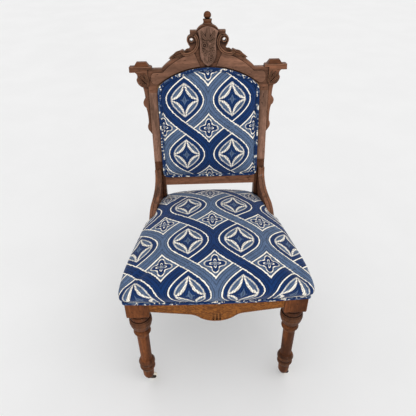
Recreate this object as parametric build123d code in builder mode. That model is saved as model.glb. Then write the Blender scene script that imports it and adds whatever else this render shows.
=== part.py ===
"""Victorian parlour side chair: carved walnut frame, sprung seat, padded back, casters on the front legs.

Millimetres, +Z up. The chair faces -Y and the origin lies on the floor under its middle.
The right side is on +X. The back is drawn on its own raked plane, with heights along the slope.
"""

import os
from math import cos, pi, radians, sin, sqrt

from build123d import *

os.makedirs("parts", exist_ok=True)

# Plan of the seat frame
LEG_SPACING = 420.0
BLOCK_SIDE = 62.0
SEAT_FRAME_DEPTH = 431.0
SEAT_REAR_WIDTH = 362.0
COVER_OVERHANG = 16.0
COVER_SIDE_OVERHANG = 10.0
HEEL_SETBACK = 99.0

# Heights of the seat frame
LEG_TURNING = 301.0
BLOCK_HEIGHT = 84.0
RAIL_HEIGHT = 62.0
RAIL_THICKNESS = 26.0
RAIL_SETBACK = 3.0
APRON_DROP = 45.0
APRON_DROP_HALF_WIDTH = 44.0
APRON_SHOULDER_HALF_WIDTH = 74.0
APRON_SHOULDER_DROP = 15.0
APRON_THICKNESS = 14.0
APRON_HOLLOW = 1.0
FLUTE_WIDTH = 5.0
FLUTE_LENGTH = 26.0
FLUTE_PITCH = 9.0
FLUTE_DEPTH = 2.0
FLUTE_LIFT = 2.0

# Turned front leg, from the toe up; a shoulder is the share of a turning's radius at its ends
TOE_RADIUS = 13.0
TOE_HEIGHT = 10.0
ANKLE_RADIUS = 17.4
ANKLE_HEIGHT = 28.0
BEAD_RADIUS = 21.5
BEAD_HEIGHT = 20.0
RING_RADIUS = 22.6
RING_HEIGHT = 26.0
SHAFT_FOOT_RADIUS = 16.2
SHAFT_TOP_RADIUS = 17.4
COLLAR_RADIUS = 22.6
COLLAR_HEIGHT = 24.0
BULB_RADIUS = 30.5
BULB_HEIGHT = 47.0
CROWN_RING_RADIUS = 28.5
CROWN_RING_HEIGHT = 13.0
DISC_RADIUS = 26.0
DISC_HEIGHT = 10.0
TURNING_GROOVE = 3.0
SHOULDER_SHARE = 0.86
BULB_FOOT_SHARE = 0.68
CROWN_SHARE = 0.93
NECK_SHARE = 0.6
BLOCK_EDGE_RADIUS = 3.0
BLOCK_FOOT_RADIUS = 5.0

# Rear posts
BACK_RAKE = 7.05
POST_INSET = 4.5
POST_WIDTH = 32.0
BACK_THICKNESS = 26.0
POST_SEAT_DEPTH = 36.0
FOOT_DEPTH = 28.0
KNEE_DROP = 15.0
POST_RISE = 356.0
COVE_RISE = 109.0
COVE_LENGTH = 30.0
COVE_DEPTH = 4.0

# Opening of the back and its lower rail
LOWER_RAIL_RISE = 54.0
LOWER_RAIL_HEIGHT = 36.5
ARCH_SPRING = 15.5
ARCH_RISE = 49.0

# Crest rail, heights above the seam on the posts
SHOULDER_RISE = 68.0
SHOULDER_INSET = 40.5
CREST_RISE = 124.0
FIELD_MARGIN = 10.0
FIELD_RELIEF = 3.0
FIELD_END_RADIUS = 12.0
KEYSTONE_TOP_HALF_WIDTH = 46.0
KEYSTONE_FOOT_HALF_WIDTH = 20.0
EYE_HALF_SPACING = 46.4
EYE_RISE = 145.0
EYE_RADIUS = 4.7
CURL_RADIUS = 13.2
CURL_DROP = 7.0
CURL_LAP = 3.0
CURL_FLANK_SHARE = 0.95
CURL_FLANK_DROP = 4.0
TAB_HALF_WIDTH = 50.0
TAB_HEIGHT = 11.0
TAB_RISE = 158.5
DOME_HALF_WIDTH = 31.0
DOME_RISE = 184.0
DOME_SHOULDER_INSET = 8.0
DOME_SHOULDER_DROP = 5.0
WING_TIP_X = 111.0
WING_TIP_RISE = 97.0
WING_PEAK_X = 72.0
WING_PEAK_RISE = 118.5
WING_ROOT_DROP = 14.0
WING_ROOT_INSET = 12.0
WING_SWELL_REACH = 22.0
WING_SWELL_DROP = 10.5
WING_NICK = 5.0
WING_NICK_DROP = 4.0
LEAF_SWELL_REACH = 15.0
SCROLL_WIDTH = 8.0
SCROLL_RELIEF = 5.0
SCROLL_HEAD_LAP = 6.0
SCROLL_BEND_INSET = 1.0
SCROLL_BEND_DROP = 12.0
SCROLL_WAIST_GAP = 7.0
SCROLL_WAIST_DROP = 27.0
SCROLL_TAIL_DROP = 9.0
SHIELD_RELIEF = 9.0
SHIELD_WAIST_HALF_WIDTH = 23.0
SHIELD_WAIST_DROP = 8.0
SHIELD_TIP_RISE = 74.0
SHIELD_MARGIN = 3.0
SHIELD_CORNER_INSET = 2.0
SHIELD_TOP_SHARE = 0.62
SHIELD_TOP_RISE = 5.0
SHIELD_FLANK = 28.0

# Finial
NECK_RADIUS = 12.5
NECK_HEIGHT = 14.0
NECK_WAIST_SHARE = 0.92
NECK_FILLET = 2.0
BALL_RADIUS = 10.5
BALL_SEAT_SHARE = 0.88
TENON_RADIUS = 4.0
TENON_LENGTH = 12.0

# Ears and stile trim
EAR_OVERHANG = 51.5
EAR_INNER_LAP = 13.0
SLAB_HEIGHT = 15.5
SLAB_RISE = 60.0
EAR_FOOT_RISE = 18.0
EAR_RELIEF = 4.0
EAR_CHAMFER = 3.0
EAR_HOLLOW_INSET = 16.0
EAR_HOLLOW_DEEP = 22.0
EAR_HOLLOW_HEIGHT = 19.0
EAR_NOSE_INSET = 19.0
EAR_BELLY_DROP = 31.0
CAP_SHIFT = 3.0
CAP_STEP_SHARE = 0.86
CAP_HEIGHT = 12.0
CAP_BASE_WIDTH = 45.0
CAP_BASE_DEPTH = 27.0
CAP_TOP_WIDTH = 28.0
CAP_TOP_DEPTH = 17.0
TRIM_LENGTH = 146.0
TRIM_THICKNESS = 14.0
TRIM_SETBACK = 4.0
TRIM_TOP_WIDTH = 17.0
TRIM_HOLLOW_WIDTH = 12.5
TRIM_LOBE_WIDTH = 19.5
TRIM_SHANK_WIDTH = 8.5
TRIM_TOE_WIDTH = 12.0
TRIM_TIP_WIDTH = 7.0
TRIM_HOLLOW_END = 0.24
TRIM_LOBE_END = 0.43
TRIM_SHANK_END = 0.76
TRIM_TOE_END = 0.93

# Hip brackets
HIP_THICKNESS = 20.0
HIP_RISE = 110.0
HIP_LENGTH = 128.0
HIP_GROOVE = 2.0
HIP_GROOVE_PLACE = 8.0
HIP_GROOVE_WIDTH = 3.0
HIP_TAIL = 30.0
HIP_LIP_SHARE = 0.05
HIP_BREAST_SHARE = 0.62
HIP_HOLLOW_SHARE = 0.24
HIP_HOLLOW_RISE_SHARE = 0.46
HIP_KNEE_SHARE = 0.58
HIP_KNEE_RISE_SHARE = 0.37

# Joinery
DOWEL_RADIUS = 4.5
DOWEL_HALF_LENGTH = 16.0
DOWEL_CLEARANCE = 0.1
BRACE_HEIGHT = 40.0
BRACE_REACH = 58.0
SCREW_RADIUS = 2.5
SCREW_HEAD_RADIUS = 5.0
SCREW_HEAD_HEIGHT = 2.5
SCREW_BITE = 14.0

# Seat upholstery
WEB_THICKNESS = 1.6
WEB_WIDTH = 50.0
WEB_LAP = 12.0
WEB_END_GAP = 1.0
BURLAP_THICKNESS = 1.0
BURLAP_GAP = 2.0
DUST_COVER_THICKNESS = 0.8
DUST_COVER_EDGE = 6.0
DUST_COVER_NOTCH = 2.0
SPRING_HEIGHT = 85.0
SPRING_END_RADIUS = 34.0
SPRING_WAIST_RADIUS = 22.0
SPRING_WIRE_RADIUS = 1.6
SPRING_HALF_TURNS = 8
SPRING_SPREAD_X = 105.0
SPRING_SPREAD_Y = 105.0
COVER_THICKNESS = 2.0
SOFT_CLEARANCE = 0.3
COVER_SKIRT = 19.0
CROWN_HEIGHT = 61.0
CROWN_REACH = 150.0
CROWN_CORNER_RADIUS = 45.0
WELT_DIAMETER = 4.6

# Back upholstery
PANEL_LAP = 6.5
PANEL_CORNER_RADIUS = 14.0
PANEL_CROWN = 23.0
PANEL_CROWN_REACH = 74.0
PANEL_COVER_THICKNESS = 1.6
BACK_STRAP_COUNT = 3
FLANGE_INSET = 1.0

# Casters
SOCKET_BORE_RADIUS = 4.05
SOCKET_WALL = 1.5
SOCKET_DEPTH = 36.0
FLANGE_RADIUS = 12.0
FLANGE_THICKNESS = 2.0
STEM_RADIUS = 4.0
RUN_GAP = 0.4
WHEEL_ROOM = 2.8
WHEEL_RADIUS = 11.0
WHEEL_WIDTH = 10.0
WHEEL_DISH = 1.0
WHEEL_RIM_SHARE = 0.8
WHEEL_HUB_SHARE = 0.45
HORN_PLATE_RADIUS = 10.5
HORN_PLATE_THICKNESS = 2.8
CHEEK_THICKNESS = 2.4
CHEEK_GAP = 0.5
AXLE_RADIUS = 2.0
AXLE_CLEARANCE = 0.05
RIVET_HEAD_RADIUS = 3.0
RIVET_HEAD_HEIGHT = 1.0
BOSS_RADIUS = 4.8
CHEEK_ROOT_SHARE = 0.6
CASTER_TRAIL = 15.0
CASTER_HEADING = 35.0

# Places worked out from the sizes above
CASTER_HEIGHT = 2 * WHEEL_RADIUS + WHEEL_ROOM + HORN_PLATE_THICKNESS + RUN_GAP + FLANGE_THICKNESS
LEG_X = LEG_SPACING / 2
FRONT_HALF = LEG_X + BLOCK_SIDE / 2
REAR_HALF = SEAT_REAR_WIDTH / 2
DEPTH = COVER_OVERHANG + SEAT_FRAME_DEPTH + HEEL_SETBACK
FRONT_Y = COVER_OVERHANG - DEPTH / 2
LEG_Y = FRONT_Y + BLOCK_SIDE / 2
BLOCK_REAR_Y = FRONT_Y + BLOCK_SIDE
BACK_Y = FRONT_Y + SEAT_FRAME_DEPTH
HEEL_Y = DEPTH / 2
BLOCK_BOTTOM = CASTER_HEIGHT + LEG_TURNING
RAIL_TOP = BLOCK_BOTTOM + BLOCK_HEIGHT
RAIL_BOTTOM = RAIL_TOP - RAIL_HEIGHT
STRAP_SEAT = RAIL_BOTTOM - WEB_THICKNESS
KNEE_Z = RAIL_BOTTOM - KNEE_DROP
POST_OUTER = REAR_HALF - POST_INSET
POST_INNER = POST_OUTER - POST_WIDTH
SIDE_SLOPE = (FRONT_HALF - REAR_HALF) / SEAT_FRAME_DEPTH
FRONT_RAIL_Y = FRONT_Y + RAIL_SETBACK
FRONT_RAIL_INNER_Y = FRONT_RAIL_Y + RAIL_THICKNESS
REAR_RAIL_Y = BACK_Y + (POST_SEAT_DEPTH - RAIL_THICKNESS) / 2
REAR_RAIL_BACK_Y = REAR_RAIL_Y + RAIL_THICKNESS

# Back plane: x across, y up the slope from the top of the seat rails, z towards the sitter
BACK = Plane(
    origin=(0, BACK_Y, RAIL_TOP),
    x_dir=(1, 0, 0),
    z_dir=(0, -cos(radians(BACK_RAKE)), sin(radians(BACK_RAKE))),
)
OPENING_FOOT = LOWER_RAIL_RISE + LOWER_RAIL_HEIGHT
OPENING_SPRING = POST_RISE + ARCH_SPRING
OPENING_CROWN = OPENING_SPRING + ARCH_RISE
ARCH_RADIUS = (POST_INNER**2 + ARCH_RISE**2) / (2 * ARCH_RISE)
ARCH_CENTRE = OPENING_CROWN - ARCH_RADIUS
SHOULDER = POST_RISE + SHOULDER_RISE
SHOULDER_HALF_WIDTH = POST_OUTER - SHOULDER_INSET
EAR_OUTER = POST_OUTER + EAR_OVERHANG
EAR_INNER = POST_OUTER - EAR_INNER_LAP
EAR_FOOT = POST_RISE + EAR_FOOT_RISE


def side_x(y, inset=0.0):
    """Outside of the seat frame on the right, at a distance y, drawn in by an inset."""
    return REAR_HALF + (BACK_Y - y) * SIDE_SLOPE - inset


def twin(part):
    """The same piece on the left side."""
    with BuildPart() as other:
        mirror(part, about=Plane.YZ)
    return other.part


def write(part, label):
    """Label a finished piece and write its file."""
    part.label = label
    export_step(part, f"parts/{label}.step")


def write_pair(part, label):
    """Write a right piece and its left twin."""
    write(part, f"right_{label}")
    write(twin(part), f"left_{label}")


def peg(place, direction, radius, length):
    """A plain round peg along a direction, for dowels and the holes they fill."""
    with BuildPart(Plane(origin=place, z_dir=direction)) as pin:
        Cylinder(radius, length)
    return pin.part


# Dowel places on the right side: point on the joint face, and the direction through it
DOWEL_HEIGHTS = (RAIL_BOTTOM + RAIL_HEIGHT / 4, RAIL_TOP - RAIL_HEIGHT / 4)
RAIL_MID_HEIGHT = RAIL_BOTTOM + RAIL_HEIGHT / 2
SIDE_RAIL_MID = RAIL_SETBACK + RAIL_THICKNESS / 2
FRONT_RAIL_DOWELS = [
    ((FRONT_HALF - BLOCK_SIDE, FRONT_RAIL_Y + RAIL_THICKNESS / 2, z), (1, 0, 0)) for z in DOWEL_HEIGHTS
]
SIDE_FRONT_DOWELS = [
    ((side_x(BLOCK_REAR_Y, SIDE_RAIL_MID), BLOCK_REAR_Y, z), (0, 1, 0)) for z in DOWEL_HEIGHTS
]
SIDE_REAR_DOWELS = [((side_x(BACK_Y, SIDE_RAIL_MID), BACK_Y, z), (0, 1, 0)) for z in DOWEL_HEIGHTS]
REAR_RAIL_DOWELS = [((POST_INNER, REAR_RAIL_Y + RAIL_THICKNESS / 2, RAIL_MID_HEIGHT), (1, 0, 0))]
LOWER_RAIL_DOWELS = [
    (
        BACK.from_local_coords((POST_INNER, LOWER_RAIL_RISE + LOWER_RAIL_HEIGHT / 2, -BACK_THICKNESS / 2)),
        (1, 0, 0),
    )
]
CREST_DOWELS = [
    (BACK.from_local_coords(((POST_INNER + POST_OUTER) / 2, POST_RISE, -BACK_THICKNESS / 2)), BACK.y_dir)
]


def dowels(joints):
    """Dowels of a list of joints."""
    return [peg(place, axis, DOWEL_RADIUS, 2 * DOWEL_HALF_LENGTH) for place, axis in joints]


def dowel_holes(joints):
    """Holes for the dowels of a list of joints, a little larger all round."""
    depth = 2 * (DOWEL_HALF_LENGTH + DOWEL_CLEARANCE)
    return [peg(place, axis, DOWEL_RADIUS + DOWEL_CLEARANCE, depth) for place, axis in joints]


# Corner block screws: from the middle of each brace's long face towards the leg or post
FRONT_SCREW_END = Vector(FRONT_HALF - BLOCK_SIDE, BLOCK_REAR_Y, RAIL_MID_HEIGHT)
FRONT_SCREW_AXIS = Vector(1, -1, 0).normalized()
REAR_SCREW_END = Vector(POST_INNER, BACK_Y, RAIL_MID_HEIGHT - RAIL_HEIGHT / 8)
REAR_SCREW_AXIS = Vector(1, 1, 0).normalized()
FRONT_BRACE_OUTLINE = [
    (FRONT_HALF - BLOCK_SIDE - BRACE_REACH, FRONT_RAIL_INNER_Y),
    (FRONT_HALF - BLOCK_SIDE, FRONT_RAIL_INNER_Y),
    (FRONT_HALF - BLOCK_SIDE, BLOCK_REAR_Y),
    (side_x(BLOCK_REAR_Y, RAIL_SETBACK + RAIL_THICKNESS), BLOCK_REAR_Y),
    (side_x(BLOCK_REAR_Y + BRACE_REACH, RAIL_SETBACK + RAIL_THICKNESS), BLOCK_REAR_Y + BRACE_REACH),
]
REAR_BRACE_OUTLINE = [
    (POST_INNER - BRACE_REACH, REAR_RAIL_Y),
    (POST_INNER, REAR_RAIL_Y),
    (POST_INNER, BACK_Y),
    (side_x(BACK_Y, RAIL_SETBACK + RAIL_THICKNESS), BACK_Y),
    (side_x(BACK_Y - BRACE_REACH, RAIL_SETBACK + RAIL_THICKNESS), BACK_Y - BRACE_REACH),
]


def screw_run(outline, end, axis):
    """Distance from the long face of a brace to the corner that its screw enters."""
    first, last = Vector(*outline[0]), Vector(*outline[-1])
    face = last - first
    normal = Vector(face.Y, -face.X).normalized()
    corner = Vector(end.X, end.Y)
    return abs((corner - first).dot(normal) / axis.dot(normal))


FRONT_SCREW_RUN = screw_run(FRONT_BRACE_OUTLINE, FRONT_SCREW_END, FRONT_SCREW_AXIS)
REAR_SCREW_RUN = screw_run(REAR_BRACE_OUTLINE, REAR_SCREW_END, REAR_SCREW_AXIS)


def screw(end, axis, run):
    """Round-headed screw through a brace, with its head sunk below the long face."""
    start = end - axis * run
    with BuildPart(Plane(origin=start, z_dir=axis)) as one:
        with Locations((0, 0, SCREW_HEAD_HEIGHT)):
            Cylinder(SCREW_HEAD_RADIUS, SCREW_HEAD_HEIGHT, align=(Align.CENTER, Align.CENTER, Align.MIN))
        with Locations((0, 0, 2 * SCREW_HEAD_HEIGHT)):
            Cylinder(
                SCREW_RADIUS,
                run + SCREW_BITE - 2 * SCREW_HEAD_HEIGHT,
                align=(Align.CENTER, Align.CENTER, Align.MIN),
            )
    return one.part


def screw_hole(end, axis, run):
    """Stepped hole that a screw fills, open at the long face of the brace."""
    start = end - axis * run
    wide = 2 * SCREW_HEAD_RADIUS
    with BuildPart(Plane(origin=start, z_dir=axis)) as hole:
        with Locations((0, 0, 2 * SCREW_HEAD_HEIGHT)):
            Cylinder(
                SCREW_HEAD_RADIUS + DOWEL_CLEARANCE, wide, align=(Align.CENTER, Align.CENTER, Align.MAX)
            )
        Cylinder(
            SCREW_RADIUS + DOWEL_CLEARANCE,
            run + SCREW_BITE + DOWEL_CLEARANCE,
            align=(Align.CENTER, Align.CENTER, Align.MIN),
        )
    return hole.part


# Rear post: straight raked stile above the seat, sabre leg below
with BuildPart() as rear_post:
    top_front = BACK.from_local_coords((0, POST_RISE, 0))
    top_rear = BACK.from_local_coords((0, POST_RISE, -BACK_THICKNESS))
    waist_rear = BACK.from_local_coords((0, LOWER_RAIL_RISE, -BACK_THICKNESS))
    with BuildSketch(Plane.YZ.offset(POST_INNER)):
        with BuildLine():
            Polyline(
                (BACK_Y, KNEE_Z),
                (BACK_Y, RAIL_TOP),
                (top_front.Y, top_front.Z),
                (top_rear.Y, top_rear.Z),
                (waist_rear.Y, waist_rear.Z),
                (BACK_Y + POST_SEAT_DEPTH, RAIL_TOP),
                (BACK_Y + POST_SEAT_DEPTH, KNEE_Z),
            )
            TangentArc((BACK_Y + POST_SEAT_DEPTH, KNEE_Z), (HEEL_Y, 0), tangent=(0, -1))
            Line((HEEL_Y, 0), (HEEL_Y - FOOT_DEPTH, 0))
            TangentArc((BACK_Y, KNEE_Z), (HEEL_Y - FOOT_DEPTH, 0), tangent=(0, -1))
        make_face()
    extrude(amount=POST_WIDTH)
    cove_radius = (COVE_LENGTH**2 / 4 + COVE_DEPTH**2) / (2 * COVE_DEPTH)
    cove_centre = (0, COVE_RISE + COVE_LENGTH / 2, cove_radius - COVE_DEPTH)
    with BuildSketch(Plane.YZ.offset(POST_INNER)):
        with Locations((BACK.from_local_coords(cove_centre).Y, BACK.from_local_coords(cove_centre).Z)):
            Circle(cove_radius)
    extrude(amount=POST_WIDTH, mode=Mode.SUBTRACT)
    for hole in dowel_holes(SIDE_REAR_DOWELS + REAR_RAIL_DOWELS + LOWER_RAIL_DOWELS + CREST_DOWELS):
        add(hole, mode=Mode.SUBTRACT)
    add(screw_hole(REAR_SCREW_END, REAR_SCREW_AXIS, REAR_SCREW_RUN), mode=Mode.SUBTRACT)
write_pair(rear_post.part, "rear_post")

# Lower back rail between the posts
with BuildPart() as lower_back_rail:
    with BuildSketch(BACK):
        with Locations((0, LOWER_RAIL_RISE)):
            Rectangle(2 * POST_INNER, LOWER_RAIL_HEIGHT, align=(Align.CENTER, Align.MIN))
    extrude(amount=-BACK_THICKNESS)
    for hole in dowel_holes(LOWER_RAIL_DOWELS):
        add(hole, mode=Mode.SUBTRACT)
        mirror(hole, about=Plane.YZ, mode=Mode.SUBTRACT)
write(lower_back_rail.part, "lower_back_rail")


def crest_band():
    """Outline of the arched rail alone, between the ears."""
    with BuildLine() as outline:
        ThreePointArc(
            (-SHOULDER_HALF_WIDTH, SHOULDER),
            (0, POST_RISE + CREST_RISE),
            (SHOULDER_HALF_WIDTH, SHOULDER),
        )
        Polyline(
            (SHOULDER_HALF_WIDTH, SHOULDER),
            (POST_OUTER, SHOULDER),
            (POST_OUTER, POST_RISE),
            (POST_INNER, POST_RISE),
            (POST_INNER, OPENING_SPRING),
        )
        ThreePointArc((POST_INNER, OPENING_SPRING), (0, OPENING_CROWN), (-POST_INNER, OPENING_SPRING))
        Polyline(
            (-POST_INNER, OPENING_SPRING),
            (-POST_INNER, POST_RISE),
            (-POST_OUTER, POST_RISE),
            (-POST_OUTER, SHOULDER),
            (-SHOULDER_HALF_WIDTH, SHOULDER),
        )
    return outline.line


def wing():
    """Leaf wing and scroll of the right side, down to the middle of the rail."""
    tip = (WING_TIP_X, POST_RISE + WING_TIP_RISE)
    peak_rise = POST_RISE + WING_PEAK_RISE
    nick = (WING_PEAK_X - WING_NICK, peak_rise - WING_NICK_DROP)
    curl_foot = (EYE_HALF_SPACING + CURL_LAP, POST_RISE + EYE_RISE - CURL_RADIUS - CURL_DROP)
    curl_flank = (EYE_HALF_SPACING + CURL_RADIUS * CURL_FLANK_SHARE, POST_RISE + EYE_RISE - CURL_FLANK_DROP)
    root = POST_RISE + WING_TIP_RISE - WING_ROOT_DROP
    with BuildLine() as outline:
        ThreePointArc(
            tip,
            (WING_PEAK_X + WING_SWELL_REACH, peak_rise - WING_SWELL_DROP),
            (WING_PEAK_X, peak_rise),
        )
        Line((WING_PEAK_X, peak_rise), nick)
        ThreePointArc(nick, (WING_PEAK_X - LEAF_SWELL_REACH, peak_rise), curl_foot)
        Polyline(
            curl_foot,
            curl_flank,
            (0, curl_flank[1]),
            (0, root),
            (WING_TIP_X - WING_ROOT_INSET, root),
            tip,
        )
    return outline.line


# Crest rail: arched board with its scrolls, leaf wings and domed top, raised fields on the front
with BuildPart() as crest_rail:
    with BuildSketch(BACK):
        make_face(crest_band())
        make_face(wing())
        make_face(mirror(wing(), about=Plane.YZ, mode=Mode.PRIVATE))
        with Locations((0, POST_RISE + TAB_RISE)):
            Rectangle(2 * TAB_HALF_WIDTH, TAB_HEIGHT, align=(Align.CENTER, Align.MIN))
        with Locations((0, POST_RISE + EYE_RISE - CURL_RADIUS)):
            Rectangle(2 * EYE_HALF_SPACING - CURL_RADIUS, 2 * CURL_RADIUS, align=(Align.CENTER, Align.MIN))
        with Locations((EYE_HALF_SPACING, POST_RISE + EYE_RISE), (-EYE_HALF_SPACING, POST_RISE + EYE_RISE)):
            Circle(CURL_RADIUS)
            Circle(EYE_RADIUS, mode=Mode.SUBTRACT)
        dome_foot = POST_RISE + TAB_RISE + TAB_HEIGHT
        dome_top = POST_RISE + DOME_RISE
        with BuildLine():
            Line((NECK_RADIUS, dome_top), (-NECK_RADIUS, dome_top))
            Line((DOME_HALF_WIDTH, dome_foot), (-DOME_HALF_WIDTH, dome_foot))
            for side in (1, -1):
                ThreePointArc(
                    (side * NECK_RADIUS, dome_top),
                    (side * (DOME_HALF_WIDTH - DOME_SHOULDER_INSET), dome_top - DOME_SHOULDER_DROP),
                    (side * DOME_HALF_WIDTH, dome_foot),
                )
        make_face()
    extrude(amount=-BACK_THICKNESS)
    with BuildSketch(BACK):
        make_face(crest_band())
        offset(amount=-FIELD_MARGIN)
        with BuildLine():
            Polyline(
                (KEYSTONE_TOP_HALF_WIDTH, POST_RISE + CREST_RISE),
                (KEYSTONE_FOOT_HALF_WIDTH, OPENING_CROWN),
                (-KEYSTONE_FOOT_HALF_WIDTH, OPENING_CROWN),
                (-KEYSTONE_TOP_HALF_WIDTH, POST_RISE + CREST_RISE),
                close=True,
            )
        make_face(mode=Mode.SUBTRACT)
        with Locations((0, POST_RISE)):
            Rectangle(
                2 * POST_OUTER,
                ARCH_SPRING + FIELD_MARGIN,
                align=(Align.CENTER, Align.MIN),
                mode=Mode.SUBTRACT,
            )
        columns = vertices().group_by(Axis.X)
        fillet(columns[0] + columns[-1], FIELD_END_RADIUS)
    extrude(amount=FIELD_RELIEF)
    for side in (1, -1):
        with BuildSketch(BACK):
            with BuildLine():
                tab_foot = POST_RISE + TAB_RISE
                first = ThreePointArc(
                    (side * (DOME_HALF_WIDTH + SCROLL_HEAD_LAP), tab_foot),
                    (side * (DOME_HALF_WIDTH - SCROLL_BEND_INSET), tab_foot - SCROLL_BEND_DROP),
                    (side * (SHIELD_WAIST_HALF_WIDTH + SCROLL_WAIST_GAP), tab_foot - SCROLL_WAIST_DROP),
                )
                TangentArc(
                    first @ 1,
                    (side * WING_PEAK_X, POST_RISE + WING_PEAK_RISE - SCROLL_TAIL_DROP),
                    tangent=first % 1,
                )
            trace(line_width=SCROLL_WIDTH)
        extrude(amount=SCROLL_RELIEF)
    for hole in dowel_holes(CREST_DOWELS):
        add(hole, mode=Mode.SUBTRACT)
        mirror(hole, about=Plane.YZ, mode=Mode.SUBTRACT)
    tenon_place = BACK.from_local_coords((0, dome_top, -BACK_THICKNESS / 2))
    add(
        peg(tenon_place, BACK.y_dir, TENON_RADIUS + DOWEL_CLEARANCE, 2 * (TENON_LENGTH + DOWEL_CLEARANCE)),
        mode=Mode.SUBTRACT,
    )
write(crest_rail.part, "crest_rail")

# Crest shield: applied carving, waisted, with a pointed foot
with BuildPart() as crest_shield:
    with BuildSketch(BACK):
        head = dome_top - SHIELD_MARGIN
        corner_x = DOME_HALF_WIDTH - SHIELD_CORNER_INSET
        corner = dome_foot - SHIELD_CORNER_INSET
        waist = POST_RISE + EYE_RISE - SHIELD_WAIST_DROP
        belly = waist - SHIELD_FLANK
        tip = POST_RISE + SHIELD_TIP_RISE
        for side in (1, -1):
            with BuildLine():
                ThreePointArc(
                    (0, head),
                    (side * SHIELD_TOP_SHARE * DOME_HALF_WIDTH, dome_foot + SHIELD_TOP_RISE),
                    (side * corner_x, corner),
                )
                flank_x = side * SHIELD_WAIST_HALF_WIDTH
                flank = Line((flank_x, waist), (flank_x, belly))
                TangentArc(flank @ 0, (side * corner_x, corner), tangent=(0, 1))
                TangentArc(flank @ 1, (0, tip), tangent=(0, -1))
                Line((0, tip), (0, head))
            make_face()
    extrude(amount=SHIELD_RELIEF)
    fillet(crest_shield.faces().sort_by(Axis(BACK.origin, BACK.z_dir))[-1].edges(), SHIELD_RELIEF / 3)
write(crest_shield.part, "crest_shield")

# Finial: neck, groove and ball on a tenon
FINIAL = Plane(origin=tenon_place, x_dir=(1, 0, 0), z_dir=BACK.z_dir)
with BuildPart() as crest_finial:
    with BuildSketch(FINIAL):
        lip = NECK_HEIGHT - NECK_FILLET
        with BuildLine():
            Polyline((0, -TENON_LENGTH), (TENON_RADIUS, -TENON_LENGTH), (TENON_RADIUS, 0), (NECK_RADIUS, 0))
            ThreePointArc(
                (NECK_RADIUS, 0),
                (NECK_WAIST_SHARE * NECK_RADIUS, NECK_HEIGHT / 2),
                (NECK_RADIUS, lip),
            )
            Polyline((NECK_RADIUS, lip), (NECK_RADIUS, NECK_HEIGHT), (0, NECK_HEIGHT), (0, -TENON_LENGTH))
        make_face()
    revolve(axis=Axis(tenon_place, BACK.y_dir))
    with Locations(FINIAL.from_local_coords((0, NECK_HEIGHT + BALL_SEAT_SHARE * BALL_RADIUS, 0))):
        Sphere(BALL_RADIUS)
write(crest_finial.part, "crest_finial")

# Ear: slab on the shoulder of the crest rail, with a scrolled bracket down its end
with BuildPart() as ear:
    slab_foot = POST_RISE + SLAB_RISE
    slab_top = slab_foot + SLAB_HEIGHT
    with BuildSketch(BACK.offset(EAR_RELIEF)):
        with BuildLine():
            Polyline(
                (POST_OUTER, EAR_FOOT),
                (POST_OUTER, SHOULDER),
                (EAR_INNER, SHOULDER),
                (EAR_INNER, slab_top - EAR_CHAMFER),
                (EAR_INNER + EAR_CHAMFER, slab_top),
                (EAR_OUTER, slab_top),
                (EAR_OUTER, slab_foot),
                (EAR_OUTER - EAR_HOLLOW_INSET, slab_foot),
            )
            hollow = ThreePointArc(
                (EAR_OUTER - EAR_HOLLOW_INSET, slab_foot),
                (EAR_OUTER - EAR_HOLLOW_DEEP, slab_foot - EAR_HOLLOW_HEIGHT / 2),
                (EAR_OUTER - EAR_NOSE_INSET, slab_foot - EAR_HOLLOW_HEIGHT),
            )
            belly = ThreePointArc(
                hollow @ 1,
                (EAR_OUTER - EAR_HOLLOW_DEEP, slab_foot - EAR_BELLY_DROP),
                (POST_OUTER + TRIM_TOP_WIDTH, EAR_FOOT),
            )
            Line(belly @ 1, (POST_OUTER, EAR_FOOT))
        make_face()
    extrude(amount=-EAR_RELIEF - BACK_THICKNESS)
write_pair(ear.part, "ear")

# Ear cap: flared block on the slab
with BuildPart() as ear_cap:
    cap_place = BACK.from_local_coords(
        ((EAR_INNER + EAR_OUTER) / 2 - CAP_SHIFT, slab_top, (EAR_RELIEF - BACK_THICKNESS) / 2)
    )
    CAP = Plane(origin=cap_place, x_dir=(1, 0, 0), z_dir=BACK.y_dir)
    with BuildSketch(CAP):
        Rectangle(CAP_BASE_WIDTH, CAP_BASE_DEPTH)
    with BuildSketch(CAP.offset(CAP_HEIGHT / 3)):
        Rectangle(CAP_STEP_SHARE * CAP_BASE_WIDTH, CAP_STEP_SHARE * CAP_BASE_DEPTH)
    with BuildSketch(CAP.offset(CAP_HEIGHT)):
        Rectangle(CAP_TOP_WIDTH, CAP_TOP_DEPTH)
    loft(ruled=True)
write_pair(ear_cap.part, "ear_cap")


def trim_point(width, share):
    """Point of the trim's scalloped edge: its width, and how far down its length it lies."""
    return (POST_OUTER + width, EAR_FOOT - share * TRIM_LENGTH)


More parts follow.
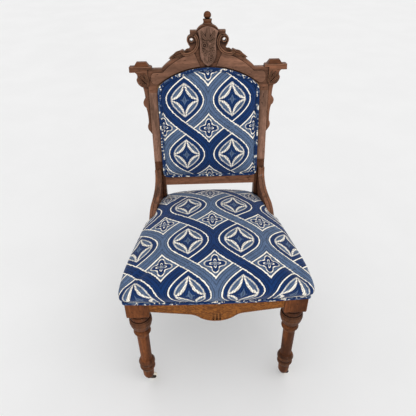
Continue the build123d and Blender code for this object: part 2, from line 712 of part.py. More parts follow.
# Stile trim: scalloped strip under each ear, with a lobe, a shank and a rounded toe
with BuildPart() as stile_trim:
    with BuildSketch(BACK.offset(-TRIM_SETBACK)):
        with BuildLine():
            Line(trim_point(0, 0), trim_point(TRIM_TOP_WIDTH, 0))
            hollow = ThreePointArc(
                trim_point(TRIM_TOP_WIDTH, 0),
                trim_point((TRIM_TOP_WIDTH + 3 * TRIM_HOLLOW_WIDTH) / 4, TRIM_HOLLOW_END / 2),
                trim_point(TRIM_HOLLOW_WIDTH, TRIM_HOLLOW_END),
            )
            lobe = ThreePointArc(
                hollow @ 1,
                trim_point(TRIM_LOBE_WIDTH, (TRIM_HOLLOW_END + TRIM_LOBE_END) / 2),
                trim_point(TRIM_TOE_WIDTH, TRIM_LOBE_END),
            )
            shank = ThreePointArc(
                lobe @ 1,
                trim_point(TRIM_SHANK_WIDTH, (TRIM_LOBE_END + TRIM_SHANK_END) / 2),
                trim_point(TRIM_SHANK_WIDTH, TRIM_SHANK_END),
            )
            toe = ThreePointArc(
                shank @ 1,
                trim_point(TRIM_TOE_WIDTH, (TRIM_SHANK_END + TRIM_TOE_END) / 2),
                trim_point(TRIM_TIP_WIDTH, TRIM_TOE_END),
            )
            Polyline(toe @ 1, trim_point(0, 1), trim_point(0, 0))
        make_face()
    extrude(amount=-TRIM_THICKNESS)
write_pair(stile_trim.part, "stile_trim")


def turning(start, radius, top, share):
    """One rounded turning from a start to its top, where its radius falls to a share."""
    return ThreePointArc(start, (radius, (start.Y + top) / 2), (share * radius, top))


# Front leg: square block over one turned length, bored for the caster socket
with BuildPart() as front_leg:
    with BuildSketch(Plane.XY.offset(BLOCK_BOTTOM)):
        Polygon(
            (FRONT_HALF - BLOCK_SIDE, FRONT_Y),
            (FRONT_HALF, FRONT_Y),
            (side_x(BLOCK_REAR_Y), BLOCK_REAR_Y),
            (FRONT_HALF - BLOCK_SIDE, BLOCK_REAR_Y),
            align=None,
        )
    extrude(amount=BLOCK_HEIGHT)
    fillet(front_leg.edges().filter_by(Axis.Z), BLOCK_EDGE_RADIUS)
    fillet(front_leg.faces().sort_by(Axis.Z)[0].edges(), BLOCK_FOOT_RADIUS)
    with BuildSketch(Plane(origin=(LEG_X, LEG_Y, CASTER_HEIGHT), x_dir=(1, 0, 0), z_dir=(0, -1, 0))):
        ankle_top = TOE_HEIGHT + ANKLE_HEIGHT
        bead_foot = ankle_top + TURNING_GROOVE
        bead_top = bead_foot + BEAD_HEIGHT
        ring_top = bead_top + RING_HEIGHT
        disc_foot = LEG_TURNING - DISC_HEIGHT
        crown_foot = disc_foot - CROWN_RING_HEIGHT
        bulb_foot = crown_foot - BULB_HEIGHT
        collar_top = bulb_foot - TURNING_GROOVE
        collar_foot = collar_top - COLLAR_HEIGHT
        tenon_top = LEG_TURNING + BLOCK_FOOT_RADIUS
        with BuildLine():
            foot = Polyline((0, tenon_top), (0, 0), (TOE_RADIUS, 0))
            toe = ThreePointArc(
                foot @ 1,
                (SHOULDER_SHARE * ANKLE_RADIUS, TOE_HEIGHT / 2),
                (CROWN_SHARE * ANKLE_RADIUS, TOE_HEIGHT),
            )
            ankle = Polyline(toe @ 1, (ANKLE_RADIUS, ankle_top), (SHOULDER_SHARE * BEAD_RADIUS, bead_foot))
            bead = turning(ankle @ 1, BEAD_RADIUS, bead_top, SHOULDER_SHARE)
            ring = turning(bead @ 1, RING_RADIUS, ring_top, SHOULDER_SHARE)
            shaft = Polyline(
                ring @ 1,
                (SHAFT_FOOT_RADIUS, ring_top + TURNING_GROOVE),
                (SHAFT_TOP_RADIUS, collar_foot - TURNING_GROOVE),
                (SHOULDER_SHARE * COLLAR_RADIUS, collar_foot),
            )
            collar = turning(shaft @ 1, COLLAR_RADIUS, collar_top, SHOULDER_SHARE)
            neck = Line(collar @ 1, (BULB_FOOT_SHARE * BULB_RADIUS, bulb_foot))
            bulb = turning(neck @ 1, BULB_RADIUS, crown_foot, SHOULDER_SHARE)
            crown = turning(bulb @ 1, CROWN_RING_RADIUS, disc_foot, CROWN_SHARE * SHOULDER_SHARE)
            disc = turning(crown @ 1, DISC_RADIUS, LEG_TURNING, CROWN_SHARE)
            Polyline(disc @ 1, (NECK_SHARE * DISC_RADIUS, tenon_top), (0, tenon_top))
        make_face()
    revolve(axis=Axis((LEG_X, LEG_Y, 0), (0, 0, 1)))
    with Locations((LEG_X, LEG_Y, CASTER_HEIGHT)):
        Cylinder(
            SOCKET_BORE_RADIUS + SOCKET_WALL + DOWEL_CLEARANCE,
            SOCKET_DEPTH + DOWEL_CLEARANCE,
            align=(Align.CENTER, Align.CENTER, Align.MIN),
            mode=Mode.SUBTRACT,
        )
    for hole in dowel_holes(FRONT_RAIL_DOWELS + SIDE_FRONT_DOWELS):
        add(hole, mode=Mode.SUBTRACT)
    add(screw_hole(FRONT_SCREW_END, FRONT_SCREW_AXIS, FRONT_SCREW_RUN), mode=Mode.SUBTRACT)
write_pair(front_leg.part, "front_leg")

# Front seat rail: straight rail with a thinner shaped apron hanging from its front
with BuildPart() as front_seat_rail:
    rail_half = FRONT_HALF - BLOCK_SIDE
    with BuildSketch(Plane.XZ.offset(-FRONT_RAIL_Y)):
        with Locations((0, STRAP_SEAT)):
            Rectangle(2 * rail_half, RAIL_TOP - STRAP_SEAT, align=(Align.CENTER, Align.MIN))
    extrude(amount=-RAIL_THICKNESS)
    shoulder_z = STRAP_SEAT - APRON_SHOULDER_DROP
    drop_z = STRAP_SEAT - APRON_DROP
    hollow_z = (shoulder_z + drop_z) / 2 - APRON_HOLLOW
    with BuildSketch(Plane.XZ.offset(-FRONT_RAIL_Y)):
        with BuildLine():
            Line((-rail_half, STRAP_SEAT), (rail_half, STRAP_SEAT))
            for side in (1, -1):
                slope = Line((side * rail_half, STRAP_SEAT), (side * APRON_SHOULDER_HALF_WIDTH, shoulder_z))
                TangentArc(
                    slope @ 1,
                    (side * APRON_DROP_HALF_WIDTH, hollow_z),
                    tangent=slope % 1,
                )
            ThreePointArc(
                (-APRON_DROP_HALF_WIDTH, hollow_z),
                (0, drop_z),
                (APRON_DROP_HALF_WIDTH, hollow_z),
            )
        make_face()
    extrude(amount=-APRON_THICKNESS)
    with BuildSketch(Plane.XZ.offset(-FRONT_RAIL_Y)):
        with Locations((0, (shoulder_z + drop_z) / 2 + FLUTE_LIFT)):
            with GridLocations(FLUTE_PITCH, 0, 3, 1):
                SlotOverall(FLUTE_LENGTH, FLUTE_WIDTH, rotation=90)
    extrude(amount=-FLUTE_DEPTH, mode=Mode.SUBTRACT)
    for hole in dowel_holes(FRONT_RAIL_DOWELS):
        add(hole, mode=Mode.SUBTRACT)
        mirror(hole, about=Plane.YZ, mode=Mode.SUBTRACT)
write(front_seat_rail.part, "front_seat_rail")

# Side seat rail from the leg block to the post
with BuildPart() as seat_rail:
    with BuildSketch(Plane.XY.offset(RAIL_BOTTOM)):
        Polygon(
            (side_x(BLOCK_REAR_Y, RAIL_SETBACK), BLOCK_REAR_Y),
            (side_x(BACK_Y, RAIL_SETBACK), BACK_Y),
            (side_x(BACK_Y, RAIL_SETBACK + RAIL_THICKNESS), BACK_Y),
            (side_x(BLOCK_REAR_Y, RAIL_SETBACK + RAIL_THICKNESS), BLOCK_REAR_Y),
            align=None,
        )
    extrude(amount=RAIL_HEIGHT)
    for hole in dowel_holes(SIDE_FRONT_DOWELS + SIDE_REAR_DOWELS):
        add(hole, mode=Mode.SUBTRACT)
write_pair(seat_rail.part, "seat_rail")

# Rear seat rail between the posts
with BuildPart() as rear_seat_rail:
    with BuildSketch(Plane.XY.offset(STRAP_SEAT)):
        with Locations((0, REAR_RAIL_Y)):
            Rectangle(2 * POST_INNER, RAIL_THICKNESS, align=(Align.CENTER, Align.MIN))
    extrude(amount=RAIL_TOP - STRAP_SEAT)
    for hole in dowel_holes(REAR_RAIL_DOWELS):
        add(hole, mode=Mode.SUBTRACT)
        mirror(hole, about=Plane.YZ, mode=Mode.SUBTRACT)
write(rear_seat_rail.part, "rear_seat_rail")

# Hip bracket: S-curved knee on the side rail against the post, grooved along its top
HIP_FORWARD = Vector(SIDE_SLOPE, -1, 0).normalized()
HIP = Plane(
    origin=(side_x(BACK_Y, RAIL_SETBACK), BACK_Y, RAIL_TOP),
    x_dir=HIP_FORWARD,
    z_dir=HIP_FORWARD.cross(Vector(0, 0, 1)),
)


def hip_outline(lowered):
    """Side view of the hip, its top curve lowered for the groove."""
    with BuildLine() as outline:
        rear = Polyline((HIP_LENGTH - lowered, 0), (-HIP_TAIL, 0), (-HIP_TAIL, HIP_RISE - lowered))
        lip = Line(rear @ 1, (-HIP_LIP_SHARE * HIP_RISE - lowered, HIP_RISE - lowered))
        sweep_down = ThreePointArc(
            lip @ 1,
            (HIP_LIP_SHARE * HIP_LENGTH - lowered, HIP_BREAST_SHARE * HIP_RISE),
            (HIP_HOLLOW_SHARE * HIP_LENGTH, HIP_HOLLOW_RISE_SHARE * HIP_RISE - lowered),
        )
        knee = TangentArc(
            sweep_down @ 1,
            (HIP_KNEE_SHARE * HIP_LENGTH, HIP_KNEE_RISE_SHARE * HIP_RISE - lowered),
            tangent=sweep_down % 1,
        )
        TangentArc(knee @ 1, (HIP_LENGTH - lowered, 0), tangent=knee % 1)
    return outline.line


with BuildPart() as hip_bracket:
    with BuildSketch(HIP):
        make_face(hip_outline(0))
    extrude(amount=HIP_THICKNESS)
    with BuildSketch(HIP.offset(HIP_GROOVE_PLACE)):
        make_face(hip_outline(0))
        make_face(hip_outline(HIP_GROOVE), mode=Mode.SUBTRACT)
    extrude(amount=HIP_GROOVE_WIDTH, mode=Mode.SUBTRACT)
    split(bisect_by=BACK, keep=Keep.TOP)
write_pair(hip_bracket.part, "hip_bracket")


def brace(outline):
    """Corner block of the given plan, between the tops and bottoms of the rails."""
    with BuildPart() as block:
        with BuildSketch(Plane.XY.offset(RAIL_MID_HEIGHT - BRACE_HEIGHT / 2)):
            Polygon(*outline, align=None)
        extrude(amount=BRACE_HEIGHT)
    return block.part


# Corner blocks and their screws
with BuildPart() as corner_blocks:
    add(brace(FRONT_BRACE_OUTLINE))
    add(brace(REAR_BRACE_OUTLINE))
    add(screw_hole(FRONT_SCREW_END, FRONT_SCREW_AXIS, FRONT_SCREW_RUN), mode=Mode.SUBTRACT)
    add(screw_hole(REAR_SCREW_END, REAR_SCREW_AXIS, REAR_SCREW_RUN), mode=Mode.SUBTRACT)
    mirror(about=Plane.YZ)
write(corner_blocks.part, "corner_blocks")

with BuildPart() as corner_screws:
    add(screw(FRONT_SCREW_END, FRONT_SCREW_AXIS, FRONT_SCREW_RUN))
    add(screw(REAR_SCREW_END, REAR_SCREW_AXIS, REAR_SCREW_RUN))
    mirror(about=Plane.YZ)
write(corner_screws.part, "corner_screws")

# Dowels of the seat frame and of the back
with BuildPart() as seat_frame_dowels:
    add(dowels(FRONT_RAIL_DOWELS + SIDE_FRONT_DOWELS + SIDE_REAR_DOWELS + REAR_RAIL_DOWELS))
    mirror(about=Plane.YZ)
write(seat_frame_dowels.part, "seat_frame_dowels")

with BuildPart() as back_frame_dowels:
    add(dowels(LOWER_RAIL_DOWELS + CREST_DOWELS))
    mirror(about=Plane.YZ)
write(back_frame_dowels.part, "back_frame_dowels")

# Seat webbing: cross straps under the side rails, long straps under the front and rear rails
with BuildPart() as seat_webbing:
    strap_middle_y = (FRONT_RAIL_INNER_Y + REAR_RAIL_Y) / 2
    for strap_y in (strap_middle_y - SPRING_SPREAD_Y, strap_middle_y, strap_middle_y + SPRING_SPREAD_Y):
        with BuildSketch(Plane.XY.offset(STRAP_SEAT)):
            with Locations((0, strap_y)):
                Rectangle(2 * side_x(strap_y, RAIL_SETBACK + RAIL_THICKNESS - WEB_LAP), WEB_WIDTH)
        extrude(amount=WEB_THICKNESS)
    long_lap = RAIL_THICKNESS - APRON_THICKNESS - WEB_END_GAP
    with BuildSketch(Plane.XY.offset(STRAP_SEAT - WEB_THICKNESS)):
        with Locations((0, strap_middle_y)):
            with GridLocations(SPRING_SPREAD_X, 0, 3, 1):
                Rectangle(WEB_WIDTH, REAR_RAIL_Y - FRONT_RAIL_INNER_Y + 2 * long_lap)
    extrude(amount=WEB_THICKNESS)
write(seat_webbing.part, "seat_webbing")


SPRING_ROOM = SPRING_WIRE_RADIUS + SOFT_CLEARANCE
SPRING_STEP = 0.001


def spring_path(place):
    """Middle line of an hourglass spring: half turns, each a pair of tangent arcs."""

    def point(turn):
        share = 2 * turn / SPRING_HALF_TURNS - 1
        radius = SPRING_WAIST_RADIUS + (SPRING_END_RADIUS - SPRING_WAIST_RADIUS) * share**2
        rise = (SPRING_HEIGHT - 2 * SPRING_ROOM) * turn / SPRING_HALF_TURNS
        return place + Vector(radius * cos(pi * turn), radius * sin(pi * turn), SPRING_ROOM + rise)

    def heading(turn):
        return (point(turn + SPRING_STEP) - point(turn - SPRING_STEP)).normalized()

    with BuildLine() as path:
        for turn in range(SPRING_HALF_TURNS):
            start, end = point(turn), point(turn + 1)
            leave, arrive = heading(turn), heading(turn + 1)
            span, lean = end - start, leave + arrive
            bend = 2 * (1 - leave.dot(arrive))
            reach = (sqrt(span.dot(lean) ** 2 + bend * span.dot(span)) - span.dot(lean)) / bend
            middle = (start + end + (leave - arrive) * reach) / 2
            first = TangentArc(start, middle, tangent=leave)
            TangentArc(middle, end, tangent=first % 1)
    return path.line


# Coil springs on the crossings of the webbing
with BuildPart() as seat_springs:
    for across, along in ((0, 0), (1, 1), (1, -1), (-1, 1), (-1, -1)):
        place = Vector(across * SPRING_SPREAD_X, strap_middle_y + along * SPRING_SPREAD_Y, RAIL_BOTTOM)
        coil = spring_path(place)
        with BuildSketch(Plane(origin=coil @ 0, z_dir=coil % 0)):
            Circle(SPRING_WIRE_RADIUS)
        sweep(path=coil)
write(seat_springs.part, "seat_springs")

# Burlap: tray over the springs, tacked to the tops of the rails inside the hips
BURLAP_TOP = RAIL_BOTTOM + SPRING_HEIGHT + BURLAP_THICKNESS
BURLAP_INSET = RAIL_SETBACK + HIP_THICKNESS + BURLAP_GAP


def burlap_form(inset):
    """Tapered block under the burlap's outer or inner skin."""
    with BuildPart() as block:
        for height, draw_in in ((RAIL_TOP, 0), (BURLAP_TOP - inset, BURLAP_TOP - RAIL_TOP)):
            front = FRONT_RAIL_Y + RAIL_THICKNESS / 2 + draw_in + inset
            rear = BACK_Y - BURLAP_GAP - draw_in - inset
            with BuildSketch(Plane.XY.offset(height)):
                Polygon(
                    (side_x(front, BURLAP_INSET + draw_in + inset), front),
                    (side_x(rear, BURLAP_INSET + draw_in + inset), rear),
                    (-side_x(rear, BURLAP_INSET + draw_in + inset), rear),
                    (-side_x(front, BURLAP_INSET + draw_in + inset), front),
                    align=None,
                )
        loft(ruled=True)
    return block.part


with BuildPart() as seat_burlap:
    add(burlap_form(0))
    add(burlap_form(BURLAP_THICKNESS), mode=Mode.SUBTRACT)
write(seat_burlap.part, "seat_burlap")

# Seat form, ring by ring: height over the rails, spread at the front and at the sides, corner radius
SKIRT_SPREAD = COVER_THICKNESS + SOFT_CLEARANCE
SKIRT_CORNER_RADIUS = BLOCK_EDGE_RADIUS + COVER_THICKNESS
BELLY_SHARE = 0.28
LEDGE_SHARE = 0.85
CROWN_ANGLES = (0, 22, 40, 55, 68, 80)


def seat_rings():
    """Skirt on the rails, swelling to the belly, then an elliptical crown."""
    yield -COVER_SKIRT, SKIRT_SPREAD, SKIRT_SPREAD, SKIRT_CORNER_RADIUS
    yield 0, LEDGE_SHARE * COVER_OVERHANG, LEDGE_SHARE * COVER_SIDE_OVERHANG, 2 * SKIRT_CORNER_RADIUS
    for angle in CROWN_ANGLES:
        lean, climb = cos(radians(angle)), sin(radians(angle))
        height = CROWN_HEIGHT * (BELLY_SHARE + (1 - BELLY_SHARE) * climb)
        draw_in = CROWN_REACH * (1 - lean)
        radius = 3 * SKIRT_CORNER_RADIUS + climb * (CROWN_CORNER_RADIUS - 3 * SKIRT_CORNER_RADIUS)
        yield height, COVER_OVERHANG - draw_in, COVER_SIDE_OVERHANG - draw_in, radius


def seat_outline(front_spread, side_spread, radius):
    """Plan of the seat at one height, with round corners."""
    front = FRONT_Y - front_spread
    rear = REAR_RAIL_BACK_Y + side_spread
    with BuildSketch() as plan:
        Polygon(
            (side_x(front, -side_spread), front),
            (side_x(rear, -side_spread), rear),
            (-side_x(rear, -side_spread), rear),
            (-side_x(front, -side_spread), front),
            align=None,
        )
        fillet(plan.vertices(), radius)
    return plan.sketch


def seat_form(inset, skirt=True):
    """Crowned seat drawn in all round by an inset, with or without the skirt below the rails' tops."""
    with BuildPart() as form:
        for height, front_spread, side_spread, radius in seat_rings():
            if height >= 0:
                lowered = inset * height / CROWN_HEIGHT
                base = RAIL_TOP + SOFT_CLEARANCE if height == 0 else RAIL_TOP
            elif skirt:
                lowered, base = 0, RAIL_TOP
            else:
                continue
            with BuildSketch(Plane.XY.offset(base + height - lowered)):
                add(seat_outline(front_spread - inset, side_spread - inset, radius - inset))
        loft(ruled=True)
    return form.part


def post_room():
    """Space at the rear corners of the seat that the posts take."""
    with BuildPart() as room:
        with BuildSketch(BACK.offset(SOFT_CLEARANCE)):
            inner = POST_INNER - SOFT_CLEARANCE
            with Locations((inner, 0), (-inner - 2 * REAR_HALF, 0)):
                Rectangle(2 * REAR_HALF, 4 * CROWN_HEIGHT, align=(Align.MIN, Align.CENTER))
        extrude(amount=-3 * POST_SEAT_DEPTH)
    return room.part


def hip_room():
    """Space that the right hip takes in the side of the seat, open to the outside."""
    with BuildPart() as room:
        with BuildSketch(HIP.offset(HIP_THICKNESS + SOFT_CLEARANCE)):
            make_face(hip_outline(-SOFT_CLEARANCE))
        extrude(amount=-HIP_THICKNESS - 4 * COVER_OVERHANG)
    return room.part


with BuildPart() as seat_cover:
    add(seat_form(0))
    add(seat_form(COVER_THICKNESS), mode=Mode.SUBTRACT)
    add(post_room(), mode=Mode.SUBTRACT)
    add(hip_room(), mode=Mode.SUBTRACT)
    mirror(hip_room(), about=Plane.YZ, mode=Mode.SUBTRACT)
write(seat_cover.part, "seat_cover")

with BuildPart() as seat_stuffing:
    add(seat_form(COVER_THICKNESS + SOFT_CLEARANCE, skirt=False))
    add(burlap_form(-SOFT_CLEARANCE), mode=Mode.SUBTRACT)
    add(post_room(), mode=Mode.SUBTRACT)
    add(hip_room(), mode=Mode.SUBTRACT)
    mirror(hip_room(), about=Plane.YZ, mode=Mode.SUBTRACT)
write(seat_stuffing.part, "seat_stuffing")

# Double welt under the edge of the seat cover, from post to post round the front
with BuildPart() as seat_welt:
    for cord in (1, 2):
        with BuildSketch(Plane.XY.offset(RAIL_TOP - COVER_SKIRT - cord * WELT_DIAMETER)):
            reach = SOFT_CLEARANCE + WELT_DIAMETER
            add(seat_outline(reach, reach, SKIRT_CORNER_RADIUS))
            add(
                seat_outline(SOFT_CLEARANCE, SOFT_CLEARANCE, BLOCK_EDGE_RADIUS),
                mode=Mode.SUBTRACT,
            )
            with Locations((0, BACK_Y - SOFT_CLEARANCE)):
                Rectangle(
                    4 * REAR_HALF,
                    SEAT_FRAME_DEPTH,
                    align=(Align.CENTER, Align.MIN),
                    mode=Mode.SUBTRACT,
                )
        extrude(amount=WELT_DIAMETER)
write(seat_welt.part, "seat_welt")

# Dust cover under the webbing, notched for the legs and the posts
with BuildPart() as dust_cover:
    with BuildSketch(Plane.XY.offset(STRAP_SEAT - WEB_THICKNESS - DUST_COVER_THICKNESS)):
        edge = RAIL_SETBACK + DUST_COVER_EDGE
        notch = DUST_COVER_NOTCH
        outline = [
            (FRONT_HALF - BLOCK_SIDE - notch, FRONT_RAIL_Y + APRON_THICKNESS + notch),
            (FRONT_HALF - BLOCK_SIDE - notch, BLOCK_REAR_Y + notch),
            (side_x(BLOCK_REAR_Y + notch, edge), BLOCK_REAR_Y + notch),
            (side_x(BACK_Y - notch, edge), BACK_Y - notch),
            (POST_INNER - notch, BACK_Y - notch),
            (POST_INNER - notch, REAR_RAIL_BACK_Y - notch),
        ]
        Polygon(*outline, *[(-x, y) for x, y in reversed(outline)], align=None)
    extrude(amount=DUST_COVER_THICKNESS)
write(dust_cover.part, "dust_cover")


def panel_outline(inset, radius):
    """Arched outline of the padded back, drawn in from the line where it laps onto the frame."""
    half = POST_INNER + PANEL_LAP - inset
    foot = OPENING_FOOT - PANEL_LAP + inset
    arch = ARCH_RADIUS + PANEL_LAP - inset
    spring = ARCH_CENTRE + sqrt(arch**2 - half**2)
    with BuildSketch() as plan:
        with BuildLine():
            Polyline((-half, spring), (-half, foot), (half, foot), (half, spring))
            ThreePointArc((half, spring), (0, ARCH_CENTRE + arch), (-half, spring))
        make_face()
        fillet(plan.vertices(), radius)
    return plan.sketch


# Back panel, layer by layer from the frame towards the sitter
STRAP_FACE = WEB_THICKNESS
BURLAP_FACE = STRAP_FACE + BURLAP_THICKNESS
FLANGE_FACE = BURLAP_FACE + PANEL_COVER_THICKNESS
WELT_BAND = 2 * WELT_DIAMETER + 2 * SOFT_CLEARANCE
PANEL_ANGLES = (0, 20, 38, 54, 68, 82)

with BuildPart() as back_webbing:
    with BuildSketch(BACK):
        with Locations((0, (OPENING_FOOT + OPENING_SPRING) / 2)):
            with GridLocations(0, (OPENING_SPRING - OPENING_FOOT) / BACK_STRAP_COUNT, 1, BACK_STRAP_COUNT):
                Rectangle(2 * (POST_INNER + PANEL_LAP - FLANGE_INSET), WEB_WIDTH)
    extrude(amount=WEB_THICKNESS)
write(back_webbing.part, "back_webbing")

with BuildPart() as back_burlap:
    with BuildSketch(BACK.offset(STRAP_FACE)):
        add(panel_outline(FLANGE_INSET, PANEL_CORNER_RADIUS))
    extrude(amount=BURLAP_THICKNESS)
write(back_burlap.part, "back_burlap")


def panel_form(inset, start):
    """Crowned pad of the back inside the welt, drawn in by an inset."""
    with BuildPart() as form:
        for angle in PANEL_ANGLES:
            draw_in = PANEL_CROWN_REACH * (1 - cos(radians(angle)))
            height = start + sin(radians(angle)) * (FLANGE_FACE + PANEL_CROWN - inset - start)
            with BuildSketch(BACK.offset(height)):
                add(panel_outline(WELT_BAND + draw_in + inset, PANEL_CORNER_RADIUS + draw_in / 2))
        loft(ruled=True)
    return form.part


with BuildPart() as back_cover:
    with BuildSketch(BACK.offset(BURLAP_FACE)):
        add(panel_outline(FLANGE_INSET, PANEL_CORNER_RADIUS))
    extrude(amount=PANEL_COVER_THICKNESS)
    add(panel_form(0, BURLAP_FACE))
    add(panel_form(PANEL_COVER_THICKNESS, BURLAP_FACE), mode=Mode.SUBTRACT)
write(back_cover.part, "back_cover")

with BuildPart() as back_stuffing:
    add(panel_form(PANEL_COVER_THICKNESS + SOFT_CLEARANCE, BURLAP_FACE + SOFT_CLEARANCE))
write(back_stuffing.part, "back_stuffing")

with BuildPart() as back_welt:
    for cord in (0, 1):
        outer = SOFT_CLEARANCE + cord * WELT_DIAMETER
        inner = outer + WELT_DIAMETER
        with BuildSketch(BACK.offset(FLANGE_FACE)):
            add(panel_outline(outer, PANEL_CORNER_RADIUS))
            add(panel_outline(inner, PANEL_CORNER_RADIUS - WELT_DIAMETER), mode=Mode.SUBTRACT)
        extrude(amount=WELT_DIAMETER)
write(back_welt.part, "back_welt")

with BuildPart() as outside_back_cover:
    with BuildSketch(BACK.offset(-BACK_THICKNESS)):
        add(panel_outline(0, PANEL_CORNER_RADIUS))
    extrude(amount=-PANEL_COVER_THICKNESS)
write(outside_back_cover.part, "outside_back_cover")

with BuildPart() as outside_back_welt:
    with BuildSketch(BACK.offset(-BACK_THICKNESS - PANEL_COVER_THICKNESS)):
        add(panel_outline(SOFT_CLEARANCE, PANEL_CORNER_RADIUS))
        add(
            panel_outline(2 * WELT_DIAMETER, PANEL_CORNER_RADIUS - WELT_DIAMETER),
            mode=Mode.SUBTRACT,
        )
    extrude(amount=-WELT_DIAMETER / 2)
write(outside_back_welt.part, "outside_back_welt")


def caster_socket(place):
    """Sleeve with a flange against the foot of the leg."""
    with BuildPart(Plane(origin=place)) as socket:
        with Locations((0, 0, CASTER_HEIGHT - FLANGE_THICKNESS)):
            Cylinder(FLANGE_RADIUS, FLANGE_THICKNESS, align=(Align.CENTER, Align.CENTER, Align.MIN))
            Cylinder(
                SOCKET_BORE_RADIUS + SOCKET_WALL,
                FLANGE_THICKNESS + SOCKET_DEPTH,
                align=(Align.CENTER, Align.CENTER, Align.MIN),
            )
            Cylinder(
                SOCKET_BORE_RADIUS,
                FLANGE_THICKNESS + SOCKET_DEPTH,
                align=(Align.CENTER, Align.CENTER, Align.MIN),
                mode=Mode.SUBTRACT,
            )
    return socket.part


# Frame of a caster: x along its trail, y up, z along the axle
TRAIL = Vector(cos(radians(CASTER_HEADING)), sin(radians(CASTER_HEADING)), 0)
AXLE_AXIS = TRAIL.cross(Vector(0, 0, 1))
PLATE_TOP = CASTER_HEIGHT - FLANGE_THICKNESS - RUN_GAP
PLATE_FOOT = PLATE_TOP - HORN_PLATE_THICKNESS
CHEEK_INNER = WHEEL_WIDTH / 2 + CHEEK_GAP
CHEEK_OUTER = CHEEK_INNER + CHEEK_THICKNESS


def caster_horn(place):
    """Stem, round plate and two raked cheeks that carry the axle."""
    side = Plane(origin=place, x_dir=TRAIL, z_dir=AXLE_AXIS)
    with BuildPart() as horn:
        with BuildSketch(Plane(origin=place).offset(PLATE_FOOT)):
            Circle(HORN_PLATE_RADIUS)
        extrude(amount=HORN_PLATE_THICKNESS)
        with BuildSketch(Plane(origin=place).offset(PLATE_FOOT)):
            Circle(STEM_RADIUS)
        extrude(amount=SOCKET_DEPTH)
        for start in (CHEEK_INNER, -CHEEK_OUTER):
            with BuildSketch(side.offset(start)):
                with BuildLine():
                    Polyline(
                        (-CHEEK_ROOT_SHARE * HORN_PLATE_RADIUS, PLATE_FOOT + HORN_PLATE_THICKNESS / 2),
                        (CHEEK_ROOT_SHARE * HORN_PLATE_RADIUS, PLATE_FOOT + HORN_PLATE_THICKNESS / 2),
                    )
                    CenterArc((CASTER_TRAIL, WHEEL_RADIUS), BOSS_RADIUS, 0, 360)
                make_hull()
                with Locations((CASTER_TRAIL, WHEEL_RADIUS)):
                    Circle(AXLE_RADIUS + AXLE_CLEARANCE / 2, mode=Mode.SUBTRACT)
            extrude(amount=CHEEK_THICKNESS)
    return horn.part


def caster_axle(place):
    """Riveted pin across the cheeks."""
    centre = Vector(*place) + TRAIL * CASTER_TRAIL + Vector(0, 0, WHEEL_RADIUS)
    with BuildPart(Plane(origin=centre, z_dir=AXLE_AXIS)) as pin:
        Cylinder(AXLE_RADIUS, 2 * CHEEK_OUTER)
        for face in (1, -1):
            with Locations((0, 0, face * (CHEEK_OUTER + RIVET_HEAD_HEIGHT / 2))):
                Cylinder(RIVET_HEAD_RADIUS, RIVET_HEAD_HEIGHT)
    return pin.part


def caster_wheel(place):
    """Crowned porcelain wheel with a raised hub."""
    centre = Vector(*place) + TRAIL * CASTER_TRAIL + Vector(0, 0, WHEEL_RADIUS)
    half = WHEEL_WIDTH / 2
    bore = AXLE_RADIUS + AXLE_CLEARANCE
    hub = WHEEL_HUB_SHARE * WHEEL_RADIUS
    rim = WHEEL_RIM_SHARE * WHEEL_RADIUS
    dish = half - WHEEL_DISH
    with BuildPart() as wheel:
        with BuildSketch(Plane(origin=centre, x_dir=(0, 0, 1), z_dir=TRAIL)):
            with BuildLine():
                for face in (1, -1):
                    Polyline(
                        (bore, face * half),
                        (hub, face * half),
                        (hub + WHEEL_DISH, face * dish),
                        (rim, face * dish),
                    )
                ThreePointArc((rim, -dish), (WHEEL_RADIUS, 0), (rim, dish))
                Line((bore, -half), (bore, half))
            make_face()
        revolve(axis=Axis(centre, AXLE_AXIS))
    return wheel.part


for name, leg_x in (("right", LEG_X), ("left", -LEG_X)):
    foot = (leg_x, LEG_Y, 0)
    write(caster_socket(foot), f"{name}_caster_socket")
    write(caster_horn(foot), f"{name}_caster_horn")
    write(caster_axle(foot), f"{name}_caster_axle")
    write(caster_wheel(foot), f"{name}_caster_wheel")
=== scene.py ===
"""Looks of the parlour side chair: walnut show frame, woven upholstery, iron and porcelain casters."""

from math import cos, exp, pi, radians, sin, sqrt, tan

import bmesh
import bpy
from bpy.props import FloatProperty, FloatVectorProperty, PointerProperty
from mathutils import Matrix, Vector
from mathutils.geometry import interpolate_bezier
from mathutils.kdtree import KDTree


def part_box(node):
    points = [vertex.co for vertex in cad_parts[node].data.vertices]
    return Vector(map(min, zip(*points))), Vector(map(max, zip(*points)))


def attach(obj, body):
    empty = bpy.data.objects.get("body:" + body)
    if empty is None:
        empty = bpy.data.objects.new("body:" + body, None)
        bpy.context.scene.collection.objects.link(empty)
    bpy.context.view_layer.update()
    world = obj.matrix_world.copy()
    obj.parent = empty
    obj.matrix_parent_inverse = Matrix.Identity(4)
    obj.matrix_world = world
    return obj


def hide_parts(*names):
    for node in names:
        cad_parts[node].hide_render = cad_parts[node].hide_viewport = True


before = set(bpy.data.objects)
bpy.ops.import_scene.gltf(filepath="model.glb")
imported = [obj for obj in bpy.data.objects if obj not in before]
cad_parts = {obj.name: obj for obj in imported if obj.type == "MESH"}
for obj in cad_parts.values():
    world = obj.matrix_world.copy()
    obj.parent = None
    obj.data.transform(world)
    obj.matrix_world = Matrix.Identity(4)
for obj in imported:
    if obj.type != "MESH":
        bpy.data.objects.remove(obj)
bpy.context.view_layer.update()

bl_info = {
    "name": "Parlour Side Chair",
    "version": (1, 0, 0),
    "blender": (4, 5, 0),
    "location": "View3D > Sidebar > Chair",
    "description": "Dresses a carved parlour side chair with its wood, cloth and casters",
    "category": "Object",
}

FRAME_BODY = "frame"
MM = 0.001
SIDES = {"right": 1, "left": -1}

